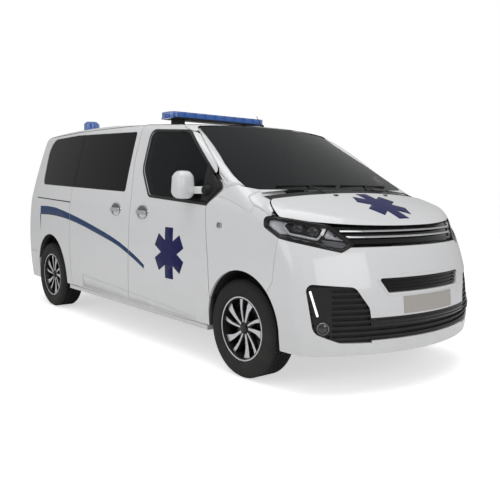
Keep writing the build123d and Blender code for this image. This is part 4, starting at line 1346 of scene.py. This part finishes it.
class AMBULANCE_OT_rear_trim(bpy.types.Operator):
    """Rear plate, tailgate handle, stop lamp, window seal, reversing lamps and reflectors"""

    bl_idname = "ambulance.rear_trim"
    bl_label = "Rear trim"

    def execute(self, context):
        add_layers(outer_skin("tailgate", -X, 0.5), FRONT_PLANE, "tailgate", TAILGATE_PARTS)
        for side, word in sides():
            skin = outer_skin("tail_lamps", Y * side - X, 0.25, side)
            band = level_bands(1000, (985,), 50)
            lamp = (f"reversing_lamp_{word}", band, 0.0012, 0.0012, "white_lamp", None)
            add_layers(skin, FRONT_PLANE, "vehicle", [lamp])
        for side, word in sides():
            outline = [(side * across, height) for across, height in millimetres(REFLECTOR)]
            reflector = (f"reflector_{word}", [outline], 0.003, 0.003, "red_lens", "red_lens")
            add_layers(outer_skin("rear_bumper", -X, 0.5), FRONT_PLANE, "vehicle", [reflector])
        return {"FINISHED"}


SEAT_FORWARD = -1.11
SEAT_ACROSS = 0.430
# Pads of one seat, in metres and degrees: (rear and front end, places across, half width,
# low and high edge, rounding, steps of the rounding, lean)
SEAT_PADS = [
    ((-0.24, 0.24), (0,), 0.215, (0.50, 0.62), 0.03, 2, 0),
    ((-0.25, 0.27), (0,), 0.235, (0.585, 0.685), 0.045, 4, -4),
    ((-0.22, 0.22), (-0.205, 0.205), 0.035, (0.62, 0.715), 0.03, 3, 0),
    ((-0.325, -0.215), (0,), 0.225, (0.66, 1.20), 0.045, 4, -11),
    ((-0.295, -0.185), (-0.200, 0.200), 0.032, (0.72, 1.12), 0.028, 3, -11),
    ((-0.345, -0.255), (0,), 0.125, (1.185, 1.325), 0.035, 4, -11),
]


class AMBULANCE_OT_cab(bpy.types.Operator):
    """Padded seats in place of the CAD blocks"""

    bl_idname = "ambulance.cab"
    bl_label = "Cab"

    def execute(self, context):
        seat_x = FRONT_AXLE + SEAT_FORWARD
        pads = bmesh.new()
        for seat_y in (-SEAT_ACROSS, SEAT_ACROSS):
            for (rear, front), places, half, (under, over), bevel, steps, lean in SEAT_PADS:
                turn = Quaternion((0, 1, 0), math.radians(lean))
                for place in places:
                    y = seat_y + place
                    soft_box((seat_x + rear, y - half, under), (seat_x + front, y + half, over),
                             bevel, steps, turn, into=pads)
        seats = add_piece("cab_seats", pads, "seat_cloth", "vehicle", sharp=60.0)
        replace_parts(seats, "front_seats")
        return {"FINISHED"}


# Studio lamps: (name, place, aim, size, share of the overhead power) in metres
LAMPS = [
    ("overhead", (1.5, -1.0, 6.5), (0.2, 0, 0), (7.0, 5.0), 1.0),
    ("front_strip", (7.5, -1.0, 2.8), (1.5, 0, 1.0), (3.5, 2.2), 0.28),
    ("side_strip", (0.5, -8.0, 3.2), (0, 0, 0.9), (7.0, 2.0), 0.34),
    ("back_strip", (-6.5, 5.0, 4.0), (-1, 0, 1.0), (5.0, 2.0), 0.30),
]
FLOOR_RADIUS = 60.0
FLOOR_GLOW = 0.58

# Camera: its place in metres and its turns in degrees
CAMERA_PLACE = (4.9134, -3.5811, 1.3037)
CAMERA_YAW = 140.44
CAMERA_PITCH = -5.68
CAMERA_ROLL = 0.69


class AMBULANCE_OT_stage(bpy.types.Operator):
    """Pale floor, soft lamps and the camera at the photograph's angle"""

    bl_idname = "ambulance.stage"
    bl_label = "Stage"

    def execute(self, context):
        settings = context.scene.ambulance_stage
        scene = context.scene
        scene.view_settings.view_transform = "Standard"
        self.make_floor(scene)
        self.make_world(scene, settings.world_level)
        for name, place, aim, size, share in LAMPS:
            lamp = bpy.data.lights.new(name, "AREA")
            lamp.shape = "RECTANGLE"
            lamp.size, lamp.size_y = size
            lamp.energy = settings.key_power * share
            stand = bpy.data.objects.new(name, lamp)
            stand.location = place
            stand.rotation_euler = (Vector(aim) - Vector(place)).to_track_quat("-Z", "Y").to_euler()
            scene.collection.objects.link(stand)
        self.make_camera(scene, settings.lens)
        return {"FINISHED"}

    def make_camera(self, scene, lens):
        """Camera at the place and with the turns worked out from the photograph."""
        camera = bpy.data.cameras.new("photo_camera")
        camera.lens = lens
        camera.sensor_width = 36.0
        camera.clip_end = 200.0
        holder = bpy.data.objects.new("photo_camera", camera)
        yaw, pitch, roll = (math.radians(turn) for turn in (CAMERA_YAW, CAMERA_PITCH, CAMERA_ROLL))
        view = Vector((math.cos(yaw) * math.cos(pitch), math.sin(yaw) * math.cos(pitch), math.sin(pitch)))
        holder.location = CAMERA_PLACE
        turn = view.to_track_quat("-Z", "Y") @ Quaternion((0, 0, 1), roll)
        holder.rotation_euler = turn.to_euler()
        scene.collection.objects.link(holder)
        scene.camera = holder

    def make_floor(self, scene):
        """White floor that keeps the shadow, brighter where the camera sees it."""
        disc = bmesh.new()
        bmesh.ops.create_circle(disc, cap_ends=True, segments=96, radius=FLOOR_RADIUS)
        mesh = bpy.data.meshes.new("studio_floor")
        disc.to_mesh(mesh)
        disc.free()
        floor = bpy.data.objects.new("studio_floor", mesh)
        scene.collection.objects.link(floor)
        material = bpy.data.materials.new("studio_floor")
        material.use_nodes = True
        tree = material.node_tree
        shader = tree.nodes["Principled BSDF"]
        shader.inputs["Base Color"].default_value = (0.92, 0.92, 0.92, 1)
        shader.inputs["Roughness"].default_value = 0.8
        glow = tree.nodes.new("ShaderNodeEmission")
        seen = tree.nodes.new("ShaderNodeLightPath")
        both = tree.nodes.new("ShaderNodeAddShader")
        strength = math_node(tree, "MULTIPLY", seen.outputs["Is Camera Ray"], FLOOR_GLOW)
        tree.links.new(strength, glow.inputs["Strength"])
        tree.links.new(shader.outputs[0], both.inputs[0])
        tree.links.new(glow.outputs[0], both.inputs[1])
        tree.links.new(both.outputs[0], tree.nodes["Material Output"].inputs["Surface"])
        mesh.materials.append(material)

    def make_world(self, scene, level):
        """Even light from all round, seen as white by the camera and through glass."""
        world = bpy.data.worlds.new("studio")
        scene.world = world
        world.use_nodes = True
        tree = world.node_tree
        background = tree.nodes["Background"]
        background.inputs["Color"].default_value = (1, 1, 1, 1)
        rays = tree.nodes.new("ShaderNodeLightPath").outputs
        shown = math_node(tree, "MAXIMUM", rays["Is Camera Ray"], rays["Is Transmission Ray"])
        share = math_node(tree, "MULTIPLY", shown, 1 - level)
        strength = math_node(tree, "ADD", share, level)
        tree.links.new(strength, background.inputs["Strength"])


class AMBULANCE_PT_panel(bpy.types.Panel):
    """Buttons and settings of the ambulance"""

    bl_idname = "AMBULANCE_PT_panel"
    bl_label = "Ambulance"
    bl_space_type = "VIEW_3D"
    bl_region_type = "UI"
    bl_category = "Ambulance"

    def draw(self, context):
        layout = self.layout
        for group in (context.scene.ambulance_paint, context.scene.ambulance_markings,
                      context.scene.ambulance_wheels, context.scene.ambulance_stage):
            box = layout.box()
            for name in type(group).__annotations__:
                box.prop(group, name)
        for operator in OPERATORS:
            layout.operator(operator.bl_idname)


OPERATORS = (
    AMBULANCE_OT_finish_nodes,
    AMBULANCE_OT_body_covers,
    AMBULANCE_OT_markings,
    AMBULANCE_OT_headlamps,
    AMBULANCE_OT_front_trim,
    AMBULANCE_OT_wheels,
    AMBULANCE_OT_mirrors,
    AMBULANCE_OT_handles,
    AMBULANCE_OT_wipers,
    AMBULANCE_OT_roof_lamps,
    AMBULANCE_OT_rear_trim,
    AMBULANCE_OT_cab,
    AMBULANCE_OT_stage,
)
SETTINGS = {
    "ambulance_paint": PaintSettings,
    "ambulance_markings": MarkingSettings,
    "ambulance_wheels": WheelSettings,
    "ambulance_stage": StageSettings,
}


def register():
    """Add the settings, operators and panel."""
    for name, group in SETTINGS.items():
        bpy.utils.register_class(group)
        setattr(bpy.types.Scene, name, PointerProperty(type=group))
    for operator in OPERATORS:
        bpy.utils.register_class(operator)
    bpy.utils.register_class(AMBULANCE_PT_panel)


def unregister():
    """Take them away again."""
    bpy.utils.unregister_class(AMBULANCE_PT_panel)
    for operator in reversed(OPERATORS):
        bpy.utils.unregister_class(operator)
    for name, group in SETTINGS.items():
        delattr(bpy.types.Scene, name)
        bpy.utils.unregister_class(group)


def main():
    register()
    bpy.ops.ambulance.finish_nodes()
    bpy.ops.ambulance.body_covers()
    bpy.ops.ambulance.markings()
    bpy.ops.ambulance.headlamps()
    bpy.ops.ambulance.front_trim()
    bpy.ops.ambulance.wheels()
    bpy.ops.ambulance.mirrors()
    bpy.ops.ambulance.handles()
    bpy.ops.ambulance.wipers()
    bpy.ops.ambulance.roof_lamps()
    bpy.ops.ambulance.rear_trim()
    bpy.ops.ambulance.cab()
    bpy.ops.ambulance.stage()


if __name__ == "__main__":
    main()
